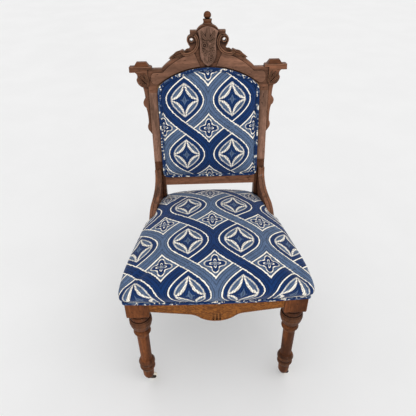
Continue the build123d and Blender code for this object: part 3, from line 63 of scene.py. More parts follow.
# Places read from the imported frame, in metres
RAIL_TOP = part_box("right_seat_rail")[1].z
BACK_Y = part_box("right_seat_rail")[1].y
FRONT_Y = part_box("right_front_leg")[0].y
FRONT_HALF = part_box("right_front_leg")[1].x
POST_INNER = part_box("lower_back_rail")[1].x
POST_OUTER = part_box("right_rear_post")[1].x
REAR_RAIL_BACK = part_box("rear_seat_rail")[1].y
HEM_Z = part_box("seat_cover")[0].z
WELT_FOOT_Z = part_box("seat_welt")[0].z
LEG_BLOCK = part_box("right_front_leg")
DUST_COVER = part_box("dust_cover")

# Sizes that the frame's boxes don't give
BACK_RAKE = radians(7.05)
REAR_LEDGE = 0.0045
HIP_INSET = 0.0233
HIP_LENGTH = 0.128
CLEARANCE = 0.0003
HEM_DROP = 0.008
HEM_LIFT = 0.002
OPENING_FOOT = 0.0905
ARCH_SPRING = 0.3715
ARCH_RISE = 0.049
PANEL_LAP = 0.0065
FLANGE_FACE = 0.0042
BACK_THICKNESS = 0.026
PANEL_COVER = 0.0016
DUST_EDGE = 0.009
NOTCH = 0.002
POST_SHADE = 0.026
FIELD_FACE = 0.003
LEG_MOULDINGS = ((0.257, 0.331), (0.068, 0.118))

# Worked out from those
REAR_HALF = POST_OUTER + REAR_LEDGE
SIDE_SLOPE = (FRONT_HALF - REAR_HALF) / (BACK_Y - FRONT_Y)
ARCH_RADIUS = (POST_INNER**2 + ARCH_RISE**2) / (2 * ARCH_RISE)
ARCH_CENTRE = ARCH_SPRING + ARCH_RISE - ARCH_RADIUS
PANEL_MIDDLE = (OPENING_FOOT + ARCH_SPRING + ARCH_RISE) / 2
WELT_RADIUS = (HEM_Z - WELT_FOOT_Z) / 4
WELT_BAND = 4 * WELT_RADIUS + 2 * CLEARANCE
BACK_UP = Vector((0, sin(BACK_RAKE), cos(BACK_RAKE)))
BACK_OUT = Vector((0, -cos(BACK_RAKE), sin(BACK_RAKE)))
BACK_FOOT = Vector((0, BACK_Y, RAIL_TOP))
HIP_TOE = BACK_Y - HIP_LENGTH


def both(part):
    """The right and the left node of a part."""
    return tuple(f"{label}_{part}" for label in SIDES)


def between(start, end, share):
    """The number at a share of the way from one to another."""
    return start + (end - start) * share


def kept_share(value):
    """A number kept between 0 and 1."""
    return min(1.0, max(0.0, value))


def on_back(x, rise, out):
    """Place on the raked back: across, up the slope, and out towards the sitter."""
    return BACK_FOOT + Vector((x, 0, 0)) + BACK_UP * rise + BACK_OUT * out


def side_x(y):
    """Outside of the seat frame on the right."""
    return REAR_HALF + (BACK_Y - y) * SIDE_SLOPE


# Settings


def tint(code):
    """Linear colour of a six-figure screen colour."""
    shares = [int(code[i : i + 2], 16) / 255 for i in (0, 2, 4)]
    return tuple(s / 12.92 if s <= 0.04045 else ((s + 0.055) / 1.055) ** 2.4 for s in shares)


def colour(name, description, code):
    """A colour that the sidebar shows."""
    return FloatVectorProperty(
        name=name, description=description, subtype="COLOR", size=3, min=0, max=1, default=tint(code)
    )


def number(name, description, default, **kind):
    """A number that the sidebar shows."""
    return FloatProperty(name=name, description=description, default=default, **kind)


def length(name, description, default):
    """A length that the sidebar shows, in metres."""
    return number(name, description, default, unit="LENGTH", subtype="DISTANCE")


def angle(name, description, degrees):
    """An angle that the sidebar shows."""
    return number(name, description, radians(degrees), subtype="ANGLE")


class WoodSettings(bpy.types.PropertyGroup):
    """Colours of the show wood"""

    light: colour("Light Grain", "Lighter bands of the walnut", "854e2c")
    dark: colour("Dark Grain", "Darker bands of the walnut", "4a2917")
    faded_light: colour("Faded Light Grain", "Lighter bands where the wood has faded", "9a7563")
    faded_dark: colour("Faded Dark Grain", "Darker bands where the wood has faded", "694f41")
    burl_light: colour("Light Burl", "Lighter figure of the apron", "985e2a")
    burl_dark: colour("Dark Burl", "Darker figure of the apron", "643a1c")
    worn: colour("Worn Edge", "Wood where the finish is rubbed off", "a98467")
    # Besides old finish, this colour paints shade in hollows and in the curls round the crest's eyes
    recess: colour("Recess", "Old finish gathered in the carving", "160a07")


class ClothSettings(bpy.types.PropertyGroup):
    """Colours and scale of the upholstery cloth"""

    navy: colour("Navy", "Inner bands and one set of straps", "0f2f5e")
    slate: colour("Slate", "Fields and the other set of straps", "506380")
    cream: colour("Cream", "Outlines", "f2ebdd")
    repeat_width: length("Repeat Width", "Pattern repeat across the cloth", 0.280)
    repeat_height: length("Repeat Height", "Pattern repeat along the cloth", 0.340)
    strap_half: length("Strap Half Width", "Half the width of a strap", 0.0130)
    outline: length("Outline", "Width of a cream line", 0.0035)
    inner_band: length("Inner Band", "Width of the navy band inside a cell", 0.0125)
    stitch_pitch: length("Stitch Pitch", "Distance between rows of stitches", 0.0064)


class SeatSettings(bpy.types.PropertyGroup):
    """Sizes of the sprung seat and the padded back"""

    crown: length("Seat Crown", "Height of the seat's middle over the rails", 0.068)
    belly: length("Seat Belly", "Height over the rails where the front is widest", 0.027)
    rear_belly: length("Rear Edge", "Height of the seat over the rails along its rear edge", 0.003)
    fullness: number("Fullness", "How soon the seat's crown falls away", 0.6)
    overhang: length("Front Overhang", "Reach of the seat past the front rail", 0.021)
    side_overhang: length("Side Overhang", "Reach of the seat past the side rails", 0.018)
    hem_spread: length("Hem Spread", "Gap from the rails to the outside of the hem", 0.0023)
    back_crown: length("Back Crown", "Height of the padded back over its edge", 0.020)


class StageSettings(bpy.types.PropertyGroup):
    """Camera and light"""

    place: FloatVectorProperty(
        name="Camera Place",
        description="Where the camera stands",
        subtype="TRANSLATION",
        unit="LENGTH",
        default=(-0.0400, -1.0186, 1.2384),
    )
    pitch: angle("Pitch", "Camera's tilt down", 35.91)
    yaw: angle("Yaw", "Camera's turn to the right", 1.53)
    roll: angle("Roll", "Camera's lean", -0.83)
    lens: number("Lens", "Focal length in millimetres", 37.29)
    sky: number("Sky", "Strength of the light from all round", 0.68)
    window: number("Window", "Strength of the narrow light low in front", 0.40)
    key: number("Key", "Strength of the soft light from the front", 0.75)


class ChairSettings(bpy.types.PropertyGroup):
    """All settings of the chair"""

    wood: PointerProperty(type=WoodSettings)
    cloth: PointerProperty(type=ClothSettings)
    seat: PointerProperty(type=SeatSettings)
    stage: PointerProperty(type=StageSettings)


# Node trees


class Value:
    """A number that a node gives, which sums can be written with."""

    def __init__(self, graph, socket):
        self.graph = graph
        self.socket = socket

    def __add__(self, other):
        return self.graph.math("ADD", self, other)

    def __sub__(self, other):
        return self.graph.math("SUBTRACT", self, other)

    def __mul__(self, other):
        return self.graph.math("MULTIPLY", self, other)

    def __truediv__(self, other):
        return self.graph.math("DIVIDE", self, other)


class Graph:
    """Places and joins the nodes of one tree."""

    def __init__(self, tree):
        self.tree = tree

    def feed(self, socket, value):
        """Give a socket a link or a plain value."""
        if isinstance(value, Value):
            value = value.socket
        if isinstance(value, bpy.types.NodeSocket):
            self.tree.links.new(value, socket)
        else:
            socket.default_value = value

    def add(self, kind, inputs=None, **settings):
        """Outputs of one shader node with its settings and inputs."""
        node = self.tree.nodes.new(f"ShaderNode{kind}")
        for name, value in settings.items():
            setattr(node, name, value)
        for name, value in (inputs or {}).items():
            self.feed(node.inputs[name], value)
        return node.outputs

    def group(self, name, inputs):
        """Outputs of one use of a shader group."""
        return self.add("Group", inputs, node_tree=bpy.data.node_groups[name])

    def math(self, operation, *values):
        """Result of one sum of numbers."""
        return Value(self, self.add("Math", dict(enumerate(values)), operation=operation)[0])

    def vector(self, operation, *values):
        """Result of one sum of places."""
        return self.add("VectorMath", dict(enumerate(values)), operation=operation)[0]

    def measure(self, operation, *values):
        """Number that one sum of places gives."""
        return Value(self, self.add("VectorMath", dict(enumerate(values)), operation=operation)["Value"])

    def split(self, vector):
        """The three numbers of a place."""
        return [Value(self, socket) for socket in self.add("SeparateXYZ", {"Vector": vector})]

    def fade(self, value, start, end, most=1.0):
        """Soft step from 0 at start to its most at end, falling where end is lower."""
        limits = {"Value": value, "From Min": start, "From Max": end, "To Max": most}
        return Value(self, self.add("MapRange", limits, interpolation_type="SMOOTHSTEP")["Result"])

    def within(self, value, low, high, soft):
        """Share of a value that lies between two limits."""
        return self.fade(value, low - soft, low + soft) * self.fade(value, high + soft, high - soft)

    def mix(self, share, first, second, blend_type="MIX"):
        """Colour between two colours."""
        sockets = {0: share, 6: first, 7: second}
        return self.add("Mix", sockets, data_type="RGBA", blend_type=blend_type)[2]

    def shade(self, colour, tone):
        """Colour times a tone."""
        grey = self.add("CombineXYZ", {"X": tone, "Y": tone, "Z": tone})[0]
        return self.mix(1.0, colour, grey, "MULTIPLY")

    def noise(self, where, stretch, detail=3.0, distortion=0.0):
        """Noise with its own number of features per metre along each axis."""
        scaled = self.vector("MULTIPLY", where, stretch)
        look = {"Vector": scaled, "Scale": 1.0, "Detail": detail, "Distortion": distortion}
        return Value(self, self.add("TexNoise", look)[0])


class Finish(Graph):
    """A new material, with constants set on its shader's own sockets."""

    def __init__(self, name, **constants):
        self.material = bpy.data.materials.new(name)
        self.material.use_nodes = True
        super().__init__(self.material.node_tree)
        self.shader = self.tree.nodes["Principled BSDF"].inputs
        for label, value in constants.items():
            self.shader[label.replace("_", " ")].default_value = value

    def on_object(self):
        """Place on the object."""
        return self.add("TexCoord")["Object"]

    def on_cloth(self):
        """Place on the piece's own cloth map."""
        return self.add("UVMap", uv_map="cloth")[0]

    def aged_and_shaded(self, wood, colour, wear, gathered_finish_and_shade=1.0):
        """A wood colour after its years of use, with old finish and painted shade in its hollows."""
        given = {"Color": colour, "Recess": rgba(wood.recess), "Worn": rgba(wood.worn)}
        return self.group("Wear, Gathered Finish And Painted Shade", {**given, "Wear": wear, "Gathered Finish And Shade": gathered_finish_and_shade})["Color"]

    def done(self, colour, height, depth):
        """The material, once it has its colour and its relief of a depth in metres."""
        bump = self.add("Bump", {"Height": height, "Distance": depth, "Strength": 1.0})
        self.feed(self.shader["Base Color"], colour)
        self.feed(self.shader["Normal"], bump[0])
        return self.material


def rgba(value):
    """A colour with full alpha, for a socket."""
    return (*value, 1.0)


def shader_group(name, inputs, outputs):
    """An empty shader group with its sockets, and the two ends inside it."""
    tree = bpy.data.node_groups.new(name, "ShaderNodeTree")
    for way, sockets in (("INPUT", inputs), ("OUTPUT", outputs)):
        for label, kind in sockets.items():
            tree.interface.new_socket(label, in_out=way, socket_type=f"NodeSocket{kind}")
    return Graph(tree), tree.nodes.new("NodeGroupInput").outputs, tree.nodes.new("NodeGroupOutput").inputs


def make_grain_group():
    """Wood grain that runs along X: colour, roughness and height."""
    graph, given, result = shader_group(
        "Wood Grain",
        {"Vector": "Vector", "Light": "Color", "Dark": "Color"},
        {"Color": "Color", "Roughness": "Float", "Height": "Float"},
    )
    where, dark = given["Vector"], given["Dark"]
    speck = (0.02, 0.01, 0.008, 1.0)
    figure = graph.noise(where, (2.6, 26.0, 26.0), 4.0, 0.9)
    streak = graph.noise(where, (9.0, 260.0, 260.0), 3.0, 0.2)
    pores = graph.noise(where, (55.0, 1500.0, 1500.0), 2.0)
    mottle = graph.noise(where, (70.0, 190.0, 190.0))
    specks = graph.noise(where, (60.0, 150.0, 150.0), 1.0)
    wood = graph.mix(graph.fade(figure, 0.32, 0.70), dark, given["Light"])
    wood = graph.mix(graph.fade(streak, 0.62, 0.36, most=0.4), wood, dark)
    wood = graph.mix(graph.fade(pores, 0.60, 0.70, most=0.5), wood, dark)
    wood = graph.mix(graph.fade(specks, 0.67, 0.73, most=0.6), wood, speck)
    graph.feed(result["Color"], graph.shade(wood, mottle * 1.1 + 0.45))
    graph.feed(result["Roughness"], streak * 0.22 + 0.38)
    graph.feed(result["Height"], streak - pores)


def make_wear_and_shade_group():
    """Years of use on any wood: old finish and painted shade darken hollows and spots near other parts, and
    edges are rubbed lighter.
    """
    graph, given, result = shader_group(
        "Wear, Gathered Finish And Painted Shade",
        {"Color": "Color", "Recess": "Color", "Worn": "Color", "Wear": "Float", "Gathered Finish And Shade": "Float"},
        {"Color": "Color"},
    )
    # Hollows and spots near other parts take the recess colour: partly old finish gathered there, partly
    # painted shade
    hollow = graph.add("AmbientOcclusion", {"Distance": 0.009}, samples=8)["AO"]
    edge = graph.add("AmbientOcclusion", {"Distance": 0.0025}, samples=8, inside=True)["AO"]
    worn = graph.mix(graph.fade(edge, 0.92, 0.40) * given["Wear"], given["Color"], given["Worn"])
    darkened_in_hollows = graph.mix(graph.fade(hollow, 0.95, 0.42) * given["Gathered Finish And Shade"], worn, given["Recess"])
    graph.feed(result["Color"], darkened_in_hollows)


# Limits of the rings of a quatrefoil in metres, and of a star in shares of its reach
FOIL_RINGS = ((0.0235, "Cream"), (0.0200, "Navy"), (0.0085, "Cream"), (0.0055, "Slate"))
STAR_RINGS = ((1.16, 0.04, "Cream"), (0.99, 0.03, "Navy"), (0.60, 0.03, "Slate"))
FOIL_LOBE = 0.0065
STAR_REACH = 0.17
HAND_WANDER = 0.0040


def make_trellis_group(cloth):
    """Interlaced trellis of two sets of curved straps, with quatrefoils and stars between them."""
    graph, given, result = shader_group(
        "Interlaced Trellis",
        {"Vector": "Vector", "Navy": "Color", "Slate": "Color", "Cream": "Color"},
        {"Color": "Color", "Height": "Float"},
    )
    where, math = given["Vector"], graph.math
    wide, tall = cloth.repeat_width, cloth.repeat_height
    strap, outline = cloth.strap_half, cloth.outline
    wander = graph.noise(where, (150.0,) * 3, 2.0)
    x, y, _ = graph.split(graph.vector("MULTIPLY_ADD", wander, (HAND_WANDER, HAND_WANDER, 0.0), where))

    def below(value, limit, soft=0.0005):
        return graph.fade(value, limit + soft, limit - soft)

    turn = math("PINGPONG", y, tall / 2) * (2 * pi / tall)
    swing = math("COSINE", turn) * (wide / 4)
    lean = math("SINE", turn) * (pi * wide / (2 * tall))
    square = math("INVERSE_SQRT", lean * lean + 1.0)
    from_middle = math("PINGPONG", x, wide / 2) - wide / 4
    slate_side = from_middle - swing
    navy_side = from_middle + swing
    slate_gap = math("ABSOLUTE", slate_side) * square
    navy_gap = math("ABSOLUTE", navy_side) * square

    # Quatrefoils stand where both straps lie on the same side, stars where they lie on either side
    star_cell = math("LESS_THAN", slate_side * navy_side, 0.0)
    petal_x = math("PINGPONG", x, wide / 4)
    petal_y = math("PINGPONG", y - tall / 4, tall / 4)
    spoke = math("ARCTAN2", petal_y, petal_x)
    radius = math("SQRT", petal_x * petal_x + petal_y * petal_y)
    petal = radius - math("COSINE", spoke * 4.0) * FOIL_LOBE
    star_x = math("PINGPONG", x - wide / 4, wide / 4)
    star_y = math("PINGPONG", y, tall / 4)
    star = math("SQRT", star_x / (STAR_REACH * wide)) + math("SQRT", star_y / (STAR_REACH * tall))

    foil = stars = given["Slate"]
    for limit, ink in FOIL_RINGS:
        foil = graph.mix(below(petal, limit), foil, given[ink])
    for limit, soft, ink in STAR_RINGS:
        stars = graph.mix(below(star, limit, soft), stars, given[ink])
    ground = graph.mix(star_cell, foil, stars)
    near = math("MINIMUM", slate_gap, navy_gap)
    band = strap + outline + cloth.inner_band
    for limit, ink in ((band + outline, "Cream"), (band, "Navy")):
        ground = graph.mix(below(near, limit) * star_cell, ground, given[ink])

    def lay(base, gap, ink):
        edged = graph.mix(below(gap, strap + outline), base, given["Cream"])
        return graph.mix(below(gap, strap), edged, given[ink])

    slate_over = lay(lay(ground, navy_gap, "Navy"), slate_gap, "Slate")
    navy_over = lay(lay(ground, slate_gap, "Slate"), navy_gap, "Navy")
    column = math("FLOOR", x / (wide / 2))
    row = math("FLOOR", y / (tall / 2))
    inked = graph.mix(math("FLOORED_MODULO", column + row, 2.0), slate_over, navy_over)

    # Rows of stitches run along the straps
    ridge = math("SINE", near * (2 * pi / cloth.stitch_pitch))
    stitch = graph.noise(where, (420.0,) * 3, 2.0)
    tufts = graph.noise(where, (600.0, 190.0, 1.0), 2.0)
    blotch = graph.noise(where, (45.0,) * 3)
    tone = ridge * 0.32 + stitch * 1.30 + tufts * 1.10 + blotch * 0.70 - 0.55
    graph.feed(result["Color"], graph.shade(inked, tone))
    graph.feed(result["Height"], ridge * 0.5 + stitch + tufts)


# Carving is drawn in millimetres on the front of the back: across, and up the slope from the seat rails
EYE = (46.4, 501.0)


def above_hips(graph, where):
    """Share of the posts that takes their lighter, greyer tone: in front above a line over the hips,
    elsewhere by and by; lower down they stay darker.
    """
    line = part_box("right_hip_bracket")[1].z + POST_SHADE
    height = graph.split(where)[2]
    facing = graph.measure("DOT_PRODUCT", graph.add("TexCoord")["Normal"], BACK_OUT)
    sharp = graph.fade(height, line - 0.004, line + 0.004)
    gentle = graph.fade(height, line - 0.25, line + 0.10)
    return gentle + graph.fade(facing, 0.3, 0.7) * (sharp - gentle)


def on_mouldings(graph, where):
    """Share of a front leg that lies on its turned mouldings."""
    height = graph.split(where)[2]
    bulb, foot = (graph.within(height, low, high, 0.002) for low, high in LEG_MOULDINGS)
    return bulb + foot


def on_fields(graph, where):
    """Share of the crest rail that lies on its raised fields."""
    out = graph.measure("DOT_PRODUCT", graph.vector("SUBTRACT", where, BACK_FOOT), BACK_OUT)
    return graph.within(out, FIELD_FACE - 0.001, FIELD_FACE + 0.0008, 0.0004)


def painted_eye_shade(graph, where):
    """Share of painted shade in the curls round the crest's eyes."""
    eye = on_back(EYE[0] * MM, EYE[1] * MM, 0)
    return graph.fade(graph.measure("DISTANCE", graph.vector("ABSOLUTE", where), eye), 0.020, 0.009, 0.85)


GRAIN_APART = (1.7, 2.9, 2.3)
WOOD_SHINE = 0.06
CLOTH_SURFACE = {"Roughness": 0.9, "Specular_IOR_Level": 0.15}


def walnut(name, wood, turn, tone, second=None, share=None, painted_shade=None, wear=0.2, gathered_finish_and_shade=1.0, polish=0.0):
    """Walnut with its grain turned to one axis, in one tone or two: how faded and how light each is."""
    finish = Finish(name, Coat_Weight=polish, Coat_Roughness=0.10, Specular_IOR_Level=WOOD_SHINE)
    where = finish.on_object()
    moved = finish.vector("MULTIPLY_ADD", finish.add("ObjectInfo")["Random"], GRAIN_APART, where)
    bands = {"Vector": finish.add("Mapping", {"Vector": moved, "Rotation": turn})[0]}
    spread = share(finish, where) if share else 0.0
    for band, fresh, old in (
        ("Light", Vector(wood.light), Vector(wood.faded_light)),
        ("Dark", Vector(wood.dark), Vector(wood.faded_dark)),
    ):
        tones = [rgba(fresh.lerp(old, faded) * lighter) for faded, lighter in (tone, second or tone)]
        bands[band] = finish.mix(spread, *tones) if share else tones[0]
    grain = finish.group("Wood Grain", bands)
    tinted = grain["Color"]
    # Painted shade: the recess colour is laid into the curls round the crest's eyes
    if painted_shade:
        tinted = finish.mix(painted_shade(finish, where), tinted, rgba(wood.recess))
    if share and polish:
        finish.feed(finish.shader["Coat Weight"], spread * polish)
    finish.feed(finish.shader["Roughness"], grain["Roughness"])
    return finish.done(finish.aged_and_shaded(wood, tinted, wear, gathered_finish_and_shade), grain["Height"], 0.0002)


def burl(name, wood):
    """Polished burl with fine swirls and dark eyes."""
    finish = Finish(name, Coat_Weight=0.03, Coat_Roughness=0.2, Specular_IOR_Level=WOOD_SHINE)
    where, dark = finish.on_object(), Vector(wood.burl_dark)
    swirl = finish.noise(where, (60.0, 60.0, 110.0), 6.0, 2.2)
    eyes = finish.noise(where, (420.0, 420.0, 480.0), 2.0, 1.0)
    figure = finish.mix(finish.fade(swirl, 0.34, 0.66), rgba(dark), rgba(wood.burl_light))
    figure = finish.mix(finish.fade(eyes, 0.56, 0.70, most=0.45), figure, rgba(dark * 0.6))
    finish.feed(finish.shader["Roughness"], swirl * 0.25 + 0.30)
    return finish.done(finish.aged_and_shaded(wood, figure, 0.2), eyes, 0.0001)


def woven(name, cloth):
    """Upholstery cloth with its trellis."""
    finish = Finish(name, Sheen_Weight=0.12, Sheen_Roughness=0.5, **CLOTH_SURFACE)
    centre = (0, cloth.repeat_height / 4, 0)
    centred = finish.add("Mapping", {"Vector": finish.on_cloth(), "Location": centre})[0]
    inks = {"Navy": rgba(cloth.navy), "Slate": rgba(cloth.slate), "Cream": rgba(cloth.cream)}
    trellis = finish.group("Interlaced Trellis", {"Vector": centred, **inks})
    return finish.done(trellis["Color"], trellis["Height"], 0.0006)


def bias_cloth(name, cloth):
    """The same cloth cut on the bias round a cord: slanting patches of its colours."""
    finish = Finish(name, Sheen_Weight=0.1, **CLOTH_SURFACE)
    where = finish.on_cloth()
    slanted = finish.add("Mapping", {"Vector": where, "Rotation": (0, 0, radians(32))})[0]
    patch = finish.noise(slanted, (52.0, 60.0, 1.0), 1.0, 0.4)
    inked = finish.mix(finish.fade(patch, 0.50, 0.515), rgba(cloth.navy), rgba(cloth.slate))
    inked = finish.mix(finish.within(patch, 0.585, 0.635, 0.008), inked, rgba(cloth.cream))
    inked = finish.mix(finish.fade(patch, 0.63, 0.64), inked, rgba(cloth.navy))
    stitch = finish.noise(where, (420.0, 420.0, 1.0), 2.0)
    return finish.done(finish.shade(inked, stitch * 1.5 + 0.25), stitch, 0.0004)


def plain_weave(name, first, second, threads):
    """Plain weave of two yarns, with a number of threads per metre."""
    finish = Finish(name, **CLOTH_SURFACE)
    where = finish.on_object()
    warp, weft = (finish.math("SINE", way * (2 * pi * threads)) for way in finish.split(where)[:2])
    weave = warp * weft
    share = weave * 0.25 + finish.noise(where, (180.0,) * 3)
    yarns = finish.mix(finish.fade(share, 0.2, 0.8), rgba(tint(first)), rgba(tint(second)))
    return finish.done(yarns, weave, 0.0004)


def mottled(name, first, second, features, depth, **constants):
    """Two colours in soft patches, with the same patches as relief."""
    finish = Finish(name, **constants)
    patches = finish.noise(finish.on_object(), (features,) * 3, 5.0)
    mixed = finish.mix(finish.fade(patches, 0.35, 0.68), rgba(tint(first)), rgba(tint(second)))
    return finish.done(mixed, patches, depth)


def dress(names, material, ease=0.0):
    """Give a finish to CAD nodes, and ease their sharp edges as sanding does."""
    for name in names:
        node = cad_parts[name]
        for slot in node.material_slots:
            slot.material = material
        if ease:
            weld = node.modifiers.new("Weld", "WELD")
            weld.merge_threshold = MERGE
            bevel = node.modifiers.new("Eased Edges", "BEVEL")
            bevel.width = ease
            bevel.segments = 2
            bevel.limit_method = "ANGLE"
            bevel.angle_limit = radians(40)
            bevel.use_clamp_overlap = True
            bevel.harden_normals = False
            node.modifiers.new("Weighted Normals", "WEIGHTED_NORMAL")


# Meshes: distance at which points are one, frames that cushions swell for, steps of a measured run
MERGE = 0.00001
PUFF_FRAMES = 20
SHEET_STEPS = 16


def link_mesh(name, bm, material):
    """A mesh with one finish, as an object of the scene."""
    mesh = bpy.data.meshes.new(name)
    bm.to_mesh(mesh)
    bm.free()
    mesh.materials.append(material)
    made = bpy.data.objects.new(name, mesh)
    bpy.context.scene.collection.objects.link(made)
    return made


def add_piece(name, bm, material, replaced=()):
    """A finished mesh as a smooth piece of the chair's frame."""
    piece = link_mesh(name, bm, material)
    piece.data.polygons.foreach_set("use_smooth", [True] * len(piece.data.polygons))
    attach(piece, FRAME_BODY)
    if replaced:
        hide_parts(*replaced)
    return piece


def rounded_square(s, t, sharpness):
    """A point of the square's edge drawn in towards round corners."""
    reach = max(abs(s), abs(t))
    if reach == 0:
        return 0.0, 0.0
    s, t = s / reach, t / reach
    share = (abs(s) ** sharpness + abs(t) ** sharpness) ** (-1 / sharpness)
    return s * share, t * share


def cloth_sheet(name, cells, place, up, material, replaced):
    """A square grid laid over a form, with a cloth map measured along the form."""
    bm = bmesh.new()
    bmesh.ops.create_grid(bm, x_segments=cells, y_segments=cells, size=1.0)
    layer = bm.loops.layers.uv.new("cloth")
    maps = {}
    for vert in bm.verts:
        s, t = vert.co.x, vert.co.y
        run = [place(s * i / SHEET_STEPS, t * i / SHEET_STEPS) for i in range(SHEET_STEPS + 1)]
        walked = sum((b - a).length for a, b in zip(run, run[1:]))
        flat = run[-1] - run[0]
        plan = Vector((flat.x, flat.dot(up)))
        maps[vert] = plan * (walked / plan.length if plan.length else 1)
        vert.co = run[-1]
    for face in bm.faces:
        for loop in face.loops:
            loop[layer].uv = maps[loop.vert]
    return add_piece(name, bm, material, replaced)


def sheet_reach(vert, cells):
    """How far out on its square sheet a point lies: 0 in the middle, 1 at the edge."""
    line, column = divmod(vert.index, cells + 1)
    return max(abs(column - cells / 2), abs(line - cells / 2)) / (cells / 2)


def puff(piece, held, pressure, cap):
    """Blow up a sheet as stuffing does, with some points held and a cap on how far the rest move."""
    group = piece.vertex_groups.new(name="held")
    group.add(held, 1.0, "REPLACE")
    cloth = piece.modifiers.new("Cloth", "CLOTH")
    cloth.settings.vertex_group_mass = group.name
    cloth.settings.use_pressure = True
    cloth.settings.uniform_pressure_force = pressure
    cloth.settings.effector_weights.gravity = 0
    cloth.settings.quality = 6
    scene = bpy.context.scene
    for step in range(1, PUFF_FRAMES + 1):
        scene.frame_set(step)
    swollen = bpy.data.meshes.new_from_object(piece.evaluated_get(bpy.context.evaluated_depsgraph_get()))
    scene.frame_set(1)
    piece.modifiers.remove(cloth)
    for vert, moved in zip(piece.data.vertices, swollen.vertices):
        step = moved.co - vert.co
        if step.length > cap:
            step *= cap / step.length
        vert.co += step
    bpy.data.meshes.remove(swollen)
    piece.data.update()


def thicken(piece, thickness, smooth=False):
    """Give a sheet the cloth's thickness, smoothed once before if it is padded."""
    if smooth:
        finer = piece.modifiers.new("Smooth", "SUBSURF")
        finer.levels = finer.render_levels = 1
    wall = piece.modifiers.new("Thickness", "SOLIDIFY")
    wall.thickness = thickness
    wall.offset = -1


# Cords: how far apart their cloth maps lie, the way across one, and a welt's corner and steps to a side
CORD_APART = 5.3
CORD_ACROSS = Vector((0.3, 0.5, 0.8))
WELT_CORNER = 0.006
WELT_STEPS = 40


def map_cords(bm, paths, closed):
    """Cloth map of round cords: along the cord, and across it."""
    layer = bm.loops.layers.uv.new("cloth")
    tree = KDTree(sum(len(path) for path in paths))
    runs = []
    for cord, path in enumerate(paths):
        ends = [Vector(place) for place in path]
        run = cord * CORD_APART
        for place, following in zip(ends, ends[1:] + ends[:1]):
            tree.insert(place, len(runs))
            runs.append(run)
            run += (following - place).length
    whole = run - cord * CORD_APART
    tree.balance()
    maps = {}
    for vert in bm.verts:
        place, index, _ = tree.find(vert.co)
        maps[vert] = runs[index], (vert.co - place).dot(CORD_ACROSS)
    for face in bm.faces:
        furthest = max(maps[vert][0] for vert in face.verts)
        for loop in face.loops:
            run, offset = maps[loop.vert]
            if closed and furthest - run > whole / 2:
                run += whole
            loop[layer].uv = (run, offset)


def tube(name, paths, radius, material, slot, replaced=(), closed=False):
    """Round cords along paths, as one piece."""
    line = bpy.data.curves.new(name, "CURVE")
    line.dimensions = "3D"
    line.bevel_depth = radius
    line.bevel_resolution = 3
    line.use_fill_caps = True
    for path in paths:
        spline = line.splines.new("POLY")
        spline.points.add(len(path) - 1)
        for point, place in zip(spline.points, path):
            point.co = (*place, 1.0)
        spline.use_cyclic_u = closed
    drawn = bpy.data.objects.new(name, line)
    bm = bmesh.new()
    bm.from_mesh(bpy.data.meshes.new_from_object(drawn))
    bpy.data.objects.remove(drawn)
    if slot == "welt":
        map_cords(bm, paths, closed)
    add_piece(name, bm, material, replaced)


# Seat: cells of its sheet, shares of it out to the belly and to the tops of the rails, sharpness of its
# corners, its cloth's thickness, the pressure inside and the most it swells, and its tuck behind the hips
SEAT_CELLS = 80
SEAT_TOP = 0.8
SEAT_LEDGE = 0.875
TOP_CORNER = 4.0
BELLY_CORNER = 6.5
HEM_CORNER = 66.5
SEAT_CLOTH = 0.002
SEAT_PRESSURE = 3.0
SEAT_SWELL = 0.006
TUCK_START = 0.014
TUCK_RUN = 0.012


def hem_dip(x, y):
    """How far the hem hangs below a straight line, most in the middle of the front."""
    forward = kept_share((BACK_Y - y) / (BACK_Y - FRONT_Y))
    across = min(1.0, abs(x) / side_x(y))
    return HEM_DROP * (1 - across**2) * forward**4 - HEM_LIFT * forward


def seat_place(seat, s, t):
    """Point of the seat's outside for a point of its sheet, crown in the middle and hem at the edge."""
    reach = max(abs(s), abs(t))
    share = min(1.0, reach / SEAT_TOP)
    rearward = (t / max(reach, SEAT_TOP) + 1) / 2
    belly = between(seat.belly, seat.rear_belly, rearward)
    hem = HEM_Z - RAIL_TOP
    if reach <= SEAT_TOP:
        dome = (1 - (s / SEAT_TOP) ** 2) * (1 - (t / SEAT_TOP) ** 2)
        height = between(belly, seat.crown, max(0.0, dome) ** seat.fullness)
        bulge = 1.0
        sharpness = between(TOP_CORNER, BELLY_CORNER, share**2)
        fall = 0.0
    else:
        if reach <= SEAT_LEDGE:
            height = between(-CLEARANCE, belly, (SEAT_LEDGE - reach) / (SEAT_LEDGE - SEAT_TOP))
        else:
            height = between(hem, -CLEARANCE, (1 - reach) / (1 - SEAT_LEDGE))
        fall = (belly - height) / (belly - hem)
        bulge = 1 - fall**2
        sharpness = between(BELLY_CORNER, HEM_CORNER, fall**2)
    px, py = rounded_square(s, t, sharpness)
    front = FRONT_Y - between(seat.hem_spread, seat.overhang, bulge)
    rear = REAR_RAIL_BACK + seat.hem_spread
    y = (front + rear) / 2 + share * py * (rear - front) / 2
    side_spread = between(seat.hem_spread, seat.side_overhang, bulge)
    under_hip = kept_share((y - FRONT_Y) / (HIP_TOE - FRONT_Y)) ** 1.5
    x = share * px * (side_x(y) + between(side_spread, seat.hem_spread, under_hip))
    return Vector((x, y, RAIL_TOP + height - fall * hem_dip(x, y)))


def seat_room(place, skirt):
    """Where a point of the seat lies once the hips and posts have their room, and what it lies against."""
    side = 1 if place.x >= 0 else -1
    x, y, z = abs(place.x), place.y, place.z
    against = ""
    if z > RAIL_TOP and not skirt:
        inner = side_x(y) - HIP_INSET - CLEARANCE
        tuck = kept_share((y - HIP_TOE + TUCK_START) / TUCK_RUN)
        if x > inner and tuck > 0:
            x = between(x, inner, tuck)
            against = "hip"
    post_front = BACK_Y + max(0.0, z - RAIL_TOP) * tan(BACK_RAKE) - CLEARANCE
    post_side = POST_INNER - CLEARANCE
    if x > post_side and y > post_front:
        if x - post_side < y - post_front:
            x, against = post_side, "post side"
        else:
            y, against = post_front, "post front"
    return Vector((side * x, y, z)), against


